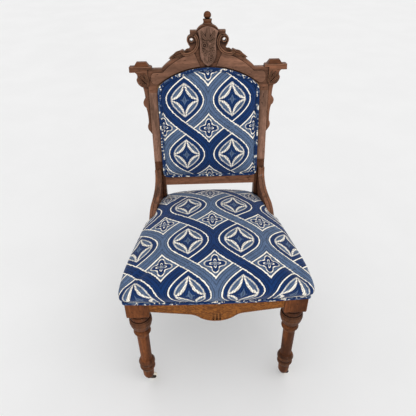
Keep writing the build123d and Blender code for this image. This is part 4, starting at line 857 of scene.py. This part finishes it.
def make_seat(seat, material):
    """Crowned seat cover over the rails, cut round the hips and the posts."""
    piece = cloth_sheet(
        "seat_cushion",
        SEAT_CELLS,
        lambda s, t: seat_place(seat, s, t),
        Vector((0, 1, 0)),
        material,
        ("seat_cover", "seat_stuffing"),
    )
    against, skirts = {}, set()
    for vert in piece.data.vertices:
        skirt = sheet_reach(vert, SEAT_CELLS) > SEAT_LEDGE - 0.5 / SEAT_CELLS
        vert.co, against[vert.index] = seat_room(vert.co, skirt)
        if skirt:
            skirts.add(vert.index)
    held = [i for i, what in against.items() if what or i in skirts]
    puff(piece, held, SEAT_PRESSURE, SEAT_SWELL)
    bm = bmesh.new()
    bm.from_mesh(piece.data)
    cut = []
    for face in bm.faces:
        corners = {vert.index for vert in face.verts}
        by_hip = any(against[i] == "hip" for i in corners - skirts)
        if (by_hip and corners & skirts) or {"post side", "post front"} <= {against[i] for i in corners}:
            cut.append(face)
    bmesh.ops.delete(bm, geom=cut, context="FACES")
    bm.to_mesh(piece.data)
    bm.free()
    thicken(piece, SEAT_CLOTH, smooth=True)


def seat_edge(spread, radius):
    """Line round the seat frame from post to post by way of the front, with round front corners."""
    front = FRONT_Y - spread
    corner = Vector((side_x(front) + spread, front))
    rear = Vector((side_x(BACK_Y) + spread, BACK_Y - CLEARANCE))
    start = corner + (rear - corner).normalized() * radius
    end = corner - Vector((radius, 0))
    shares = [i / 6 for i in range(7)]
    turn = [start.lerp(corner, share).lerp(corner.lerp(end, share), share) for share in shares]
    front_run = [Vector((end.x * (1 - i / 8), front)) for i in range(1, 9)]
    right = [rear, *turn, *front_run]
    return [(p.x, p.y) for p in right] + [(-p.x, p.y) for p in reversed(right[:-1])]


# Back: cells of its sheet, shares of it that are padded and free, inset of its edge, its cloth's thickness,
# the pressure and the most it swells, and the same of the cloth behind it
BACK_CELLS = 60
BACK_PAD = 0.9
BACK_HELD = 0.88
BACK_EDGE = 0.001
PANEL_CORNER = 24
BACK_CLOTH = 0.0016
BACK_PRESSURE = 2.5
BACK_SWELL = 0.004
OUTSIDE_CELLS = 24
OUTSIDE_CLOTH = 0.0012
OUTSIDE_BULGE = 0.0009


def panel_ring(inset, s, t):
    """Point of the back panel's outline, drawn in by an inset, for a point of the square's edge."""
    px, py = rounded_square(s, t, PANEL_CORNER)
    x = px * (POST_INNER + PANEL_LAP - inset)
    foot = OPENING_FOOT - PANEL_LAP + inset
    top = ARCH_CENTRE + sqrt((ARCH_RADIUS + PANEL_LAP - inset) ** 2 - x**2)
    return x, between(foot, top, (py + 1) / 2)


def panel_place(crown, s, t):
    """Point of the padded back for a point of its sheet, pad in the middle and flange at the edge."""
    reach = max(abs(s), abs(t))
    share = min(1.0, reach / BACK_PAD)
    inset = between(WELT_BAND, BACK_EDGE, max(0.0, reach - BACK_PAD) / (1 - BACK_PAD))
    x, rise = panel_ring(inset, s, t)
    return on_back(
        share * x,
        between(PANEL_MIDDLE, rise, share),
        FLANGE_FACE + crown * sqrt(1 - share**3.6),
    )


def square_edge(count):
    """Points once round the edge of the square."""
    shares = [2 * i / count - 1 for i in range(count)]
    right = [(share, -1.0) for share in shares] + [(1.0, share) for share in shares]
    return right + [(-s, -t) for s, t in right]


def make_back(seat, material):
    """Padded back with its flange under the welt."""
    piece = cloth_sheet(
        "back_cushion",
        BACK_CELLS,
        lambda s, t: panel_place(seat.back_crown, s, t),
        BACK_UP,
        material,
        ("back_cover", "back_stuffing"),
    )
    held = [vert.index for vert in piece.data.vertices if sheet_reach(vert, BACK_CELLS) > BACK_HELD]
    puff(piece, held, BACK_PRESSURE, BACK_SWELL)
    thicken(piece, BACK_CLOTH, smooth=True)


def make_outside_back(material):
    """Cloth stretched over the back of the opening, with its edge under the cord."""
    face = -BACK_THICKNESS - PANEL_COVER

    def place(s, t):
        reach = max(abs(s), abs(t))
        x, rise = panel_ring(0, s, t)
        out = face + OUTSIDE_BULGE * (1 - reach**4)
        return on_back(x * reach, between(PANEL_MIDDLE, rise, reach), out)

    piece = cloth_sheet("outside_back", OUTSIDE_CELLS, place, BACK_UP, material, ("outside_back_cover",))
    piece.data.flip_normals()
    thicken(piece, OUTSIDE_CLOTH)


# Dust cover: cells of its sheet, its cloth, its sag and the flat margin round it, and its tacks
DUST_CELLS = 24
DUST_CLOTH = 0.0008
DUST_SAG = 0.006
DUST_MARGIN = Vector((0.03, 0.025, 0))
TACK_PITCH = 0.032
TACK_INSET = 0.004
TACK_RADIUS = 0.0028
TACK_HEIGHT = 0.45


def make_dust_cover(material, iron):
    """Cambric tacked under the seat rails, sagging a little, with its tacks."""
    low, high = DUST_COVER
    inner = POST_INNER - NOTCH
    front_x = LEG_BLOCK[0].x - NOTCH
    shoulder = LEG_BLOCK[1].y + NOTCH
    right = [
        (front_x, low.y),
        (front_x, shoulder),
        (high.x, shoulder),
        (side_x(BACK_Y) - DUST_EDGE, BACK_Y - NOTCH),
        (inner, BACK_Y - NOTCH),
        (inner, high.y),
    ]
    outline = right + [(-x, y) for x, y in reversed(right)]
    bm = bmesh.new()
    bm.faces.new([bm.verts.new((x, y, high.z)) for x, y in outline])
    for axis in (0, 1):
        for i in range(1, DUST_CELLS):
            place, normal = Vector(), Vector()
            place[axis] = between(low[axis], high[axis], i / DUST_CELLS)
            normal[axis] = 1
            whole = bm.verts[:] + bm.edges[:] + bm.faces[:]
            bmesh.ops.bisect_plane(bm, geom=whole, plane_co=place, plane_no=normal)
    middle = (low + high) / 2
    slack = high - middle - DUST_MARGIN
    for vert in bm.verts:
        across = min(1.0, abs(vert.co.x - middle.x) / slack.x)
        along = min(1.0, abs(vert.co.y - middle.y) / slack.y)
        vert.co.z -= DUST_SAG * (1 - across**2) * (1 - along**2)
    bmesh.ops.recalc_face_normals(bm, faces=bm.faces)
    area = sum(face.calc_area() for face in bm.faces)
    piece = add_piece("cambric_dust_cover", bm, material, ("dust_cover",))
    thicken(piece, DUST_CLOTH)

    tacks = bmesh.new()
    corners = [Vector(corner) for corner in outline]
    for start, end in zip(corners, corners[1:] + corners[:1]):
        run = end - start
        count = max(1, round(run.length / TACK_PITCH))
        inward = Vector((-run.y, run.x)).normalized() * TACK_INSET
        for i in range(count):
            spot = start + run * ((i + 0.5) / count) + inward
            shape = Matrix.Translation((*spot, low.z)) @ Matrix.Diagonal((1, 1, TACK_HEIGHT, 1))
            bmesh.ops.create_icosphere(tacks, subdivisions=1, radius=TACK_RADIUS, matrix=shape)
    add_piece("dust_cover_tacks", tacks, iron)


# Carving: depth and width of a leaf's vein in shares of the leaf, how far it is sunk in, and radii of cords
VEIN_DEPTH = 0.6
VEIN_WIDTH = 0.2
LEAF_SUNK = 0.3
STEM, RIDGE, BEAD, RING = 0.9 * MM, 1.5 * MM, 1.0 * MM, 1.7 * MM


def bow(a, b, c, d, count=16):
    """Points of a smooth bow from a to d that leaves towards b and comes in from c."""
    return interpolate_bezier(Vector(a), Vector(b), Vector(c), Vector(d), count)


def turns(centre, radii, angles, count=28):
    """Points round a centre, from one radius and angle in degrees to another."""
    points = []
    for i in range(count):
        radius, turn = (between(*ends, i / (count - 1)) for ends in (radii, angles))
        points.append(Vector(centre) + radius * Vector((cos(radians(turn)), sin(radians(turn)))))
    return points


def arc(centre, radius, start, end, count=28):
    """Points of an arc, with its angles in degrees."""
    return turns(centre, (radius, radius), (start, end), count)


def on_crest(points, out, side=1):
    """A drawn path on the back, as drawn or mirrored."""
    return [on_back(side * p[0] * MM, p[1] * MM, out * MM) for p in points]


def leaves(bm, rows, out, side=1):
    """Carved leaves along their spines, raised on either side of the vein and pointed at the ends."""
    for *ends, half_width, height in rows:
        spine = bow(*ends)
        last = len(spine) - 1
        for vert in bmesh.ops.create_grid(bm, x_segments=last, y_segments=8, size=1.0)["verts"]:
            along, across = (vert.co.x + 1) / 2, vert.co.y
            i = round(along * last)
            ahead = (spine[min(i + 1, last)] - spine[max(i - 1, 0)]).normalized()
            swell = max(0.0, sin(pi * along**0.8)) ** 0.7
            reach = across * half_width * swell
            vein = 1 - VEIN_DEPTH * exp(-((across / VEIN_WIDTH) ** 2))
            lift = height * sqrt(swell) * max(0.0, 1 - across**2) ** 0.6 * vein - LEAF_SUNK
            x, rise = spine[i].x - ahead.y * reach, spine[i].y + ahead.x * reach
            vert.co = on_back(side * x * MM, rise * MM, (out + lift) * MM)


def boss(bm, profile, size, centre, out, side=1):
    """A round boss spun from a profile of radius and height, both in shares of its size."""
    middle = on_back(side * centre[0] * MM, centre[1] * MM, out * MM)
    size *= MM
    line = [bm.verts.new(middle + Vector((r * size, 0, 0)) + BACK_OUT * h * size) for r, h in profile]
    edges = [bm.edges.new(pair) for pair in zip(line, line[1:])]
    bmesh.ops.spin(
        bm, geom=line + edges, cent=middle, axis=BACK_OUT, angle=2 * pi, steps=20, use_merge=True
    )


def carved(name, bm, material):
    """Close the leaves and bosses of one carving and add it as a piece."""
    bmesh.ops.remove_doubles(bm, verts=bm.verts, dist=MERGE)
    bmesh.ops.edgeloop_fill(bm, edges=[edge for edge in bm.edges if edge.is_boundary])
    bmesh.ops.recalc_face_normals(bm, faces=bm.faces)
    add_piece(name, bm, material)


# Faces that carving lies on, out from the face of the back
SHIELD_FACE = 9.0
SCROLL_FACE = 5.0
EAR_FACE = 4.0
STILE_FACE = 1.0
FINIAL_OUT = -13.0

# Leaves: the four points that bow a spine, half width and height
TULIP = ((0, 500), (0, 510), (0, 522), (0, 535), 6.6, 5.0)
CALYX = (
    ((2.5, 499), (8, 507), (16, 511), (19, 527), 5.6, 4.4),
    ((3, 496.5), (9, 496), (17, 499), (20.5, 507), 3.2, 3.2),
)
RIGHT_LEAVES = (
    ((2.5, 480), (8, 484), (13, 488), (18.5, 494), 4.4, 3.6),
    ((2.5, 470), (8, 475), (11, 478), (19, 481), 3.4, 3.0),
)
LEFT_LEAVES = (
    ((2, 468), (6, 472), (11, 474), (18.5, 480), 3.6, 3.2),
    ((1.5, 439), (6, 442), (10, 448), (12.5, 456), 3.0, 3.0),
)
WING_LEAVES = (
    ((64, 468.5), (76, 469.5), (92, 462), (114, 451.5), 5.6, 5.6),
    ((52, 476.5), (58, 477), (63, 474.5), (68, 468), 3.4, 4.6),
    ((70, 461), (80, 461), (90, 457), (104, 450), 3.0, 4.4),
    ((80, 473), (88, 470), (93, 467.5), (99, 463), 2.4, 4.0),
)
EAR_LEAVES = (
    ((180, 379), (188, 382), (199, 391), (204.5, 408), 4.0, 4.4),
    ((179.5, 384), (183, 391), (190, 399), (197, 413), 3.8, 4.4),
    ((179, 390), (180, 397), (182, 405), (187, 414), 3.4, 4.0),
)
STILE_LEAF = ((177, 375), (170, 388), (183, 401), (176, 415), 3.4, 4.0)

# Bosses: profile, size and centre
BERRY = ((0, 0.85), (0.45, 0.76), (0.8, 0.45), (1, 0), (1, -0.1), (0, -0.1))
ROSETTE = (
    (0, 0.60), (0.24, 0.52), (0.38, 0.26), (0.46, 0.22), (0.60, 0.48), (0.78, 0.56),
    (0.93, 0.34), (1, 0), (1, -0.05), (0, -0.05),
)
SHIELD_BOSSES = (
    (ROSETTE, 8.2, (-10.2, 487.5)), (ROSETTE, 7.2, (7.6, 449.5)), (BERRY, 4.2, (-8.6, 462)),
    (BERRY, 4.0, (7.4, 463.5)), (BERRY, 3.4, (15.6, 470.5)), (BERRY, 3.2, (-15.8, 470)),
    (BERRY, 2.6, (14.5, 459)),
)
EAR_CURL = (200, 386)

# Rings of the finial: rise and radius. Beads of a leg: height, radius of the middle line and half thickness
FINIAL_RINGS = ((551.2, 10.9), (541.8, 12.2))
LEG_BEADS = (
    (305.0, 28.4, 1.4), (296.5, 26.2, 5.2), (289.0, 22.6, 9.0),
    (246.0, 19.6, 4.8), (104.0, 19.4, 5.0), (81.0, 18.6, 4.4),
)


def carve_shield(material):
    """Tulip, rosettes, berries and leaves on the shield."""
    bm = bmesh.new()
    leaves(bm, (TULIP, *CALYX, *RIGHT_LEAVES), SHIELD_FACE)
    leaves(bm, CALYX + LEFT_LEAVES, SHIELD_FACE, -1)
    for profile, size, centre in SHIELD_BOSSES:
        boss(bm, profile, size, centre, SHIELD_FACE)
    carved("shield_carving", bm, material)
    stem = [(0.7 * (-1) ** i, 497 - 4.6 * i) for i in range(14)]
    tube("shield_stem", [on_crest(stem, SHIELD_FACE)], STEM, material, "walnut")


def carve_crest(leafy, ridge):
    """Leaves on the wings and ears, ridges on the scrolls and rims round the eyes."""
    bm = bmesh.new()
    ridges, beads = [], []
    for side in SIDES.values():
        leaves(bm, WING_LEAVES, 0, side)
        leaves(bm, EAR_LEAVES, EAR_FACE, side)
        leaves(bm, [STILE_LEAF], STILE_FACE, side)
        boss(bm, BERRY, 3.2, (73.5, 466.0), SCROLL_FACE - 1, side)
        boss(bm, BERRY, 2.4, EAR_CURL, EAR_FACE, side)
        for inset in (-2.5, 2.5):
            upper = arc((56.6, 495), 27.7 + inset, 139, 195.7)
            lower = arc((61.4, 496.3), 32.6 + inset, 197, 285)
            ridges.append(on_crest(upper + lower, SCROLL_FACE, side))
        rim = arc(EYE, 11.3, 205, -18) + bow((57.1, 497.3), (56, 493), (52.5, 487), (49.8, 483))[1:]
        ridges.append(on_crest(rim, 0.2, side))
        for path, out in (
            (arc((0, 286.9), 191.6, 81, 55), 0),
            (arc(EYE, 6.0, 0, 360), 0),
            (bow((12.9, 538.3), (19.5, 537), (27, 531.5), (29.9, 526)), 0),
            ([(33, 516), (49, 516)], 0),
            ([(33, 524), (49, 524)], 0),
            (turns(EAR_CURL, (5.6, 2.6), (0, 504), 40), EAR_FACE),
            ([(178.5, 417.6), (227, 417.6)], EAR_FACE),
            ([(168, 429.9), (227, 429.9)], EAR_FACE),
        ):
            beads.append(on_crest(path, out, side))
    carved("crest_carving", bm, leafy)
    tube("crest_ridges", ridges, RIDGE, ridge, "walnut")
    tube("crest_beads", beads, BEAD, ridge, "walnut")
    rings = [
        [on_back(p.x * MM, rise * MM, (FINIAL_OUT + p.y) * MM) for p in arc((0, 0), radius, 0, 351, 40)]
        for rise, radius in FINIAL_RINGS
    ]
    tube("finial_rings", rings, RING, ridge, "walnut", closed=True)


def carve_apron(material):
    """Bead along the lower edge of the apron."""
    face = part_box("front_seat_rail")[0].y
    right = arc((0, 382.5), 73.5, -90, -54.2, 14)
    right += bow((44.6, 323), (51, 328), (58, 336.7), (76, 339.3))[1:] + [Vector((176, 353.7))]
    for label, side in SIDES.items():
        path = [(side * p.x * MM, face, p.y * MM) for p in right]
        tube(f"apron_bead_{label}", [path], STEM, material, "walnut")


def bead_legs(material):
    """Turned beads round the bulb, the collar and the foot of each front leg."""
    upright = Matrix.Rotation(pi / 2, 3, "X")
    for label in SIDES:
        low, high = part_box(f"{label}_front_leg")
        middle = (low + high) / 2
        bm = bmesh.new()
        for height, radius, half in LEG_BEADS:
            ring = bmesh.ops.create_circle(bm, segments=24, radius=half * MM)["verts"]
            bmesh.ops.rotate(bm, verts=ring, cent=(0, 0, 0), matrix=upright)
            bmesh.ops.translate(bm, verts=ring, vec=(radius * MM, 0, height * MM))
            line = ring + list({edge for vert in ring for edge in vert.link_edges})
            bmesh.ops.spin(
                bm, geom=line, cent=(0, 0, 0), axis=(0, 0, 1), angle=2 * pi, steps=56, use_merge=True
            )
        bmesh.ops.recalc_face_normals(bm, faces=bm.faces)
        bmesh.ops.translate(bm, verts=bm.verts, vec=(middle.x, middle.y, 0))
        add_piece(f"{label}_leg_beads", bm, material)


# Turns that bring the grain upright, across and along
UPRIGHT, ACROSS, ALONG = (0, radians(90), 0), (0, 0, 0), (0, 0, radians(90))

# Widths of the eased edges
EASED, EASED_CARVING, EASED_HIPS, EASED_CASTER = 0.0009, 0.0004, 0.0025, 0.0003

# Finish, nodes, eased edges, grain and look of the walnut
WALNUT = (
    ("walnut_posts", both("rear_post"), EASED, UPRIGHT,
     {"tone": (0.3, 0.5), "second": (0.9, 1.05), "share": above_hips}),
    ("walnut_trims", both("stile_trim"), EASED, UPRIGHT, {"tone": (0.45, 1.1)}),
    ("walnut_legs", both("front_leg"), EASED, UPRIGHT,
     {"tone": (0.0, 0.95), "second": (0.05, 0.64), "share": on_mouldings, "wear": 0.05, "polish": 0.08}),
    # The crest gets painted shade in the curls round its eyes
    ("walnut_crest", ("crest_rail",), EASED_CARVING, ACROSS,
     {"tone": (0.45, 1.0), "second": (0.6, 1.2), "share": on_fields, "painted_shade": painted_eye_shade, "gathered_finish_and_shade": 0.75}),
    ("walnut_shield", ("crest_shield",), EASED_CARVING, UPRIGHT, {"tone": (1.0, 0.95), "wear": 0.15}),
    ("walnut_carved", (*both("ear"), "rear_seat_rail"), EASED_CARVING, ACROSS,
     {"tone": (0.35, 1.05), "wear": 0.15}),
    ("walnut_leaves", (), 0, ACROSS, {"tone": (0.3, 0.8), "wear": 0.3}),
    ("walnut_ridges", (), 0, ACROSS, {"tone": (0.45, 1.3), "wear": 0.15}),
    ("walnut_turned", ("crest_finial", *both("ear_cap")), EASED, ACROSS,
     {"tone": (0.1, 0.7), "wear": 0.1, "polish": 0.05}),
    # Painted light: the lower back rail is made lighter than the rest, standing in for light on a rail in
    # the back's shade
    ("walnut_rails_painted_light", ("lower_back_rail",), EASED, ACROSS, {"tone": (0.4, 1.7)}),
    ("walnut_hips", both("hip_bracket"), EASED_HIPS, UPRIGHT,
     {"tone": (0.32, 1.02), "wear": 0.3, "gathered_finish_and_shade": 0.25, "polish": 0.18}),
    ("walnut_side_rails", both("seat_rail"), EASED_CARVING, ALONG, {"tone": (0.0, 1.0)}),
    ("secondary_wood", ("corner_blocks", "seat_frame_dowels", "back_frame_dowels"), 0, ALONG,
     {"tone": (0.0, 1.9)}),
)


class CHAIR_OT_walnut_frame(bpy.types.Operator):
    """Finish the show wood"""

    bl_idname = "chair.walnut_frame"
    bl_label = "Walnut Frame"

    def execute(self, context):
        wood = context.scene.chair.wood
        make_grain_group()
        make_wear_and_shade_group()
        for name, nodes, ease, turn, look in WALNUT:
            dress(nodes, walnut(name, wood, turn, **look), ease)
        dress(("front_seat_rail",), burl("walnut_burl", wood), EASED)
        return {"FINISHED"}


class CHAIR_OT_carving(bpy.types.Operator):
    """Carve the crest, the shield, the ears, the apron's edge and the beads of the legs"""

    bl_idname = "chair.carving"
    bl_label = "Carving"

    def execute(self, context):
        finishes = bpy.data.materials
        carve_shield(finishes["walnut_shield"])
        carve_crest(finishes["walnut_leaves"], finishes["walnut_ridges"])
        carve_apron(finishes["walnut_burl"])
        bead_legs(finishes["walnut_legs"])
        return {"FINISHED"}


class CHAIR_OT_upholstery(bpy.types.Operator):
    """Cover the seat and the back"""

    bl_idname = "chair.upholstery"
    bl_label = "Upholstery"

    def execute(self, context):
        chair = context.scene.chair
        make_trellis_group(chair.cloth)
        cover = woven("trellis_cloth", chair.cloth)
        make_seat(chair.seat, cover)
        make_back(chair.seat, cover)
        make_outside_back(cover)
        return {"FINISHED"}


class CHAIR_OT_welts(bpy.types.Operator):
    """Edge the upholstery with cords covered in its own cloth"""

    bl_idname = "chair.welts"
    bl_label = "Welts"

    def execute(self, context):
        bias = bias_cloth("welt_cloth", context.scene.chair.cloth)
        line = seat_edge(CLEARANCE + WELT_RADIUS, WELT_CORNER)
        heights = (HEM_Z - WELT_RADIUS, HEM_Z - 3 * WELT_RADIUS)
        cords = [[(x, y, z - hem_dip(x, y)) for x, y in line] for z in heights]
        tube("seat_double_welt", cords, WELT_RADIUS, bias, "welt", ("seat_welt",))
        rear = -BACK_THICKNESS - PANEL_COVER - WELT_RADIUS
        for name, out, replaced in (
            ("back_double_welt", FLANGE_FACE + WELT_RADIUS, "back_welt"),
            ("outside_back_cord", rear, "outside_back_welt"),
        ):
            cords = [
                [on_back(*panel_ring(inset, s, t), out) for s, t in square_edge(WELT_STEPS)]
                for inset in (CLEARANCE + WELT_RADIUS, CLEARANCE + 3 * WELT_RADIUS)
            ]
            tube(name, cords, WELT_RADIUS, bias, "welt", (replaced,), closed=True)
        return {"FINISHED"}


class CHAIR_OT_inside(bpy.types.Operator):
    """Finish what lies inside and under the seat"""

    bl_idname = "chair.inside"
    bl_label = "Inside and Underside"

    def execute(self, context):
        dress(("seat_webbing", "back_webbing"), plain_weave("jute_webbing", "8a6f48", "b59a6c", 500))
        dress(("seat_burlap", "back_burlap"), plain_weave("burlap", "866b43", "a98c5c", 350))
        cambric = plain_weave("cambric", "18181a", "2a2a2d", 800)
        tack = mottled("tack_iron", "1d1c1c", "3a3836", 400.0, 0.0001, Metallic=0.9, Roughness=0.45)
        make_dust_cover(cambric, tack)
        steel = mottled("spring_steel", "6b6c6e", "8d8f92", 300.0, 0.0001, Metallic=1.0, Roughness=0.35)
        dress(("seat_springs",), steel)
        return {"FINISHED"}


class CHAIR_OT_casters(bpy.types.Operator):
    """Finish the iron and the porcelain of the casters"""

    bl_idname = "chair.casters"
    bl_label = "Casters"

    def execute(self, context):
        iron = mottled("iron", "241f1c", "4a3f38", 220.0, 0.0002, Metallic=0.9, Roughness=0.5)
        porcelain = mottled("porcelain", "e2d6bf", "efe6d4", 70.0, 0.00003, Roughness=0.2, Coat_Weight=0.5)
        sockets, horns, axles = both("caster_socket"), both("caster_horn"), both("caster_axle")
        dress((*sockets, *horns, *axles, "corner_screws"), iron, EASED_CASTER)
        dress(both("caster_wheel"), porcelain, EASED_CASTER)
        return {"FINISHED"}


class CHAIR_OT_stage(bpy.types.Operator):
    """Set the floor, the light and the camera"""

    bl_idname = "chair.stage"
    bl_label = "Stage"

    def execute(self, context):
        scene = context.scene
        stage = scene.chair.stage
        scene.view_settings.view_transform = "Standard"
        self.floor()
        self.sky(scene, stage.sky)
        self.lamp(scene, "key_light", (0.55, -0.9, 1.5), stage.key, 70)
        self.lamp(scene, "fill_light", (-0.9, -0.35, 0.9), stage.key / 4, 70)
        self.lamp(scene, "window_light", (0.35, -1.0, 0.14), stage.window, 8)
        self.camera(scene, stage)
        return {"FINISHED"}

    def floor(self):
        bm = bmesh.new()
        bmesh.ops.create_grid(bm, x_segments=1, y_segments=1, size=20.0)
        pale = mottled("pale_floor", "f7f7f7", "f9f9f9", 3.0, 0.0, Roughness=0.95, Specular_IOR_Level=0.1)
        plane = link_mesh("floor", bm, pale)

    def sky(self, scene, strength):
        scene.world = bpy.data.worlds.new("studio")
        scene.world.use_nodes = True
        graph = Graph(scene.world.node_tree)
        ray = graph.add("LightPath")
        beyond = graph.math("MAXIMUM", ray["Is Glossy Ray"], ray["Is Transmission Ray"])
        seen = graph.math("MAXIMUM", ray["Is Camera Ray"], beyond)
        back = graph.tree.nodes["Background"].inputs
        back["Color"].default_value = (1, 1, 1, 1)
        graph.feed(back["Strength"], seen * (1.0 - strength) + strength)

    def lamp(self, scene, name, place, power, spread):
        data = bpy.data.lights.new(name, "SUN")
        data.angle = radians(spread)
        data.energy = power
        lamp = bpy.data.objects.new(name, data)
        lamp.location = place
        lamp.rotation_euler = (-Vector(place)).to_track_quat("-Z", "Y").to_euler()
        scene.collection.objects.link(lamp)

    def camera(self, scene, stage):
        data = bpy.data.cameras.new("camera")
        data.lens = stage.lens
        data.sensor_width = 36.0
        camera = bpy.data.objects.new("camera", data)
        yaw = Matrix.Rotation(-stage.yaw, 4, "Z")
        pitch = Matrix.Rotation(pi / 2 - stage.pitch, 4, "X")
        roll = Matrix.Rotation(stage.roll, 4, "Z")
        camera.matrix_world = Matrix.Translation(stage.place) @ yaw @ pitch @ roll
        scene.collection.objects.link(camera)
        scene.camera = camera


class CHAIR_PT_sidebar(bpy.types.Panel):
    """Pieces and settings of the chair"""

    bl_idname = "CHAIR_PT_sidebar"
    bl_label = "Parlour Side Chair"
    bl_space_type = "VIEW_3D"
    bl_region_type = "UI"
    bl_category = "Chair"

    def draw(self, context):
        for operator in OPERATORS:
            self.layout.operator(operator.bl_idname)
        chair = context.scene.chair
        for group in (chair.wood, chair.cloth, chair.seat, chair.stage):
            box = self.layout.box()
            for name in group.bl_rna.properties.keys():
                if name not in ("rna_type", "name"):
                    box.prop(group, name)


OPERATORS = (
    CHAIR_OT_walnut_frame,
    CHAIR_OT_carving,
    CHAIR_OT_upholstery,
    CHAIR_OT_welts,
    CHAIR_OT_inside,
    CHAIR_OT_casters,
    CHAIR_OT_stage,
)
CLASSES = (
    WoodSettings,
    ClothSettings,
    SeatSettings,
    StageSettings,
    ChairSettings,
    *OPERATORS,
    CHAIR_PT_sidebar,
)


def register():
    for cls in CLASSES:
        bpy.utils.register_class(cls)
    bpy.types.Scene.chair = PointerProperty(type=ChairSettings)


def unregister():
    del bpy.types.Scene.chair
    for cls in reversed(CLASSES):
        bpy.utils.unregister_class(cls)


def main():
    register()
    for operator in OPERATORS:
        family, name = operator.bl_idname.split(".")
        getattr(getattr(bpy.ops, family), name)()


if __name__ == "__main__":
    main()
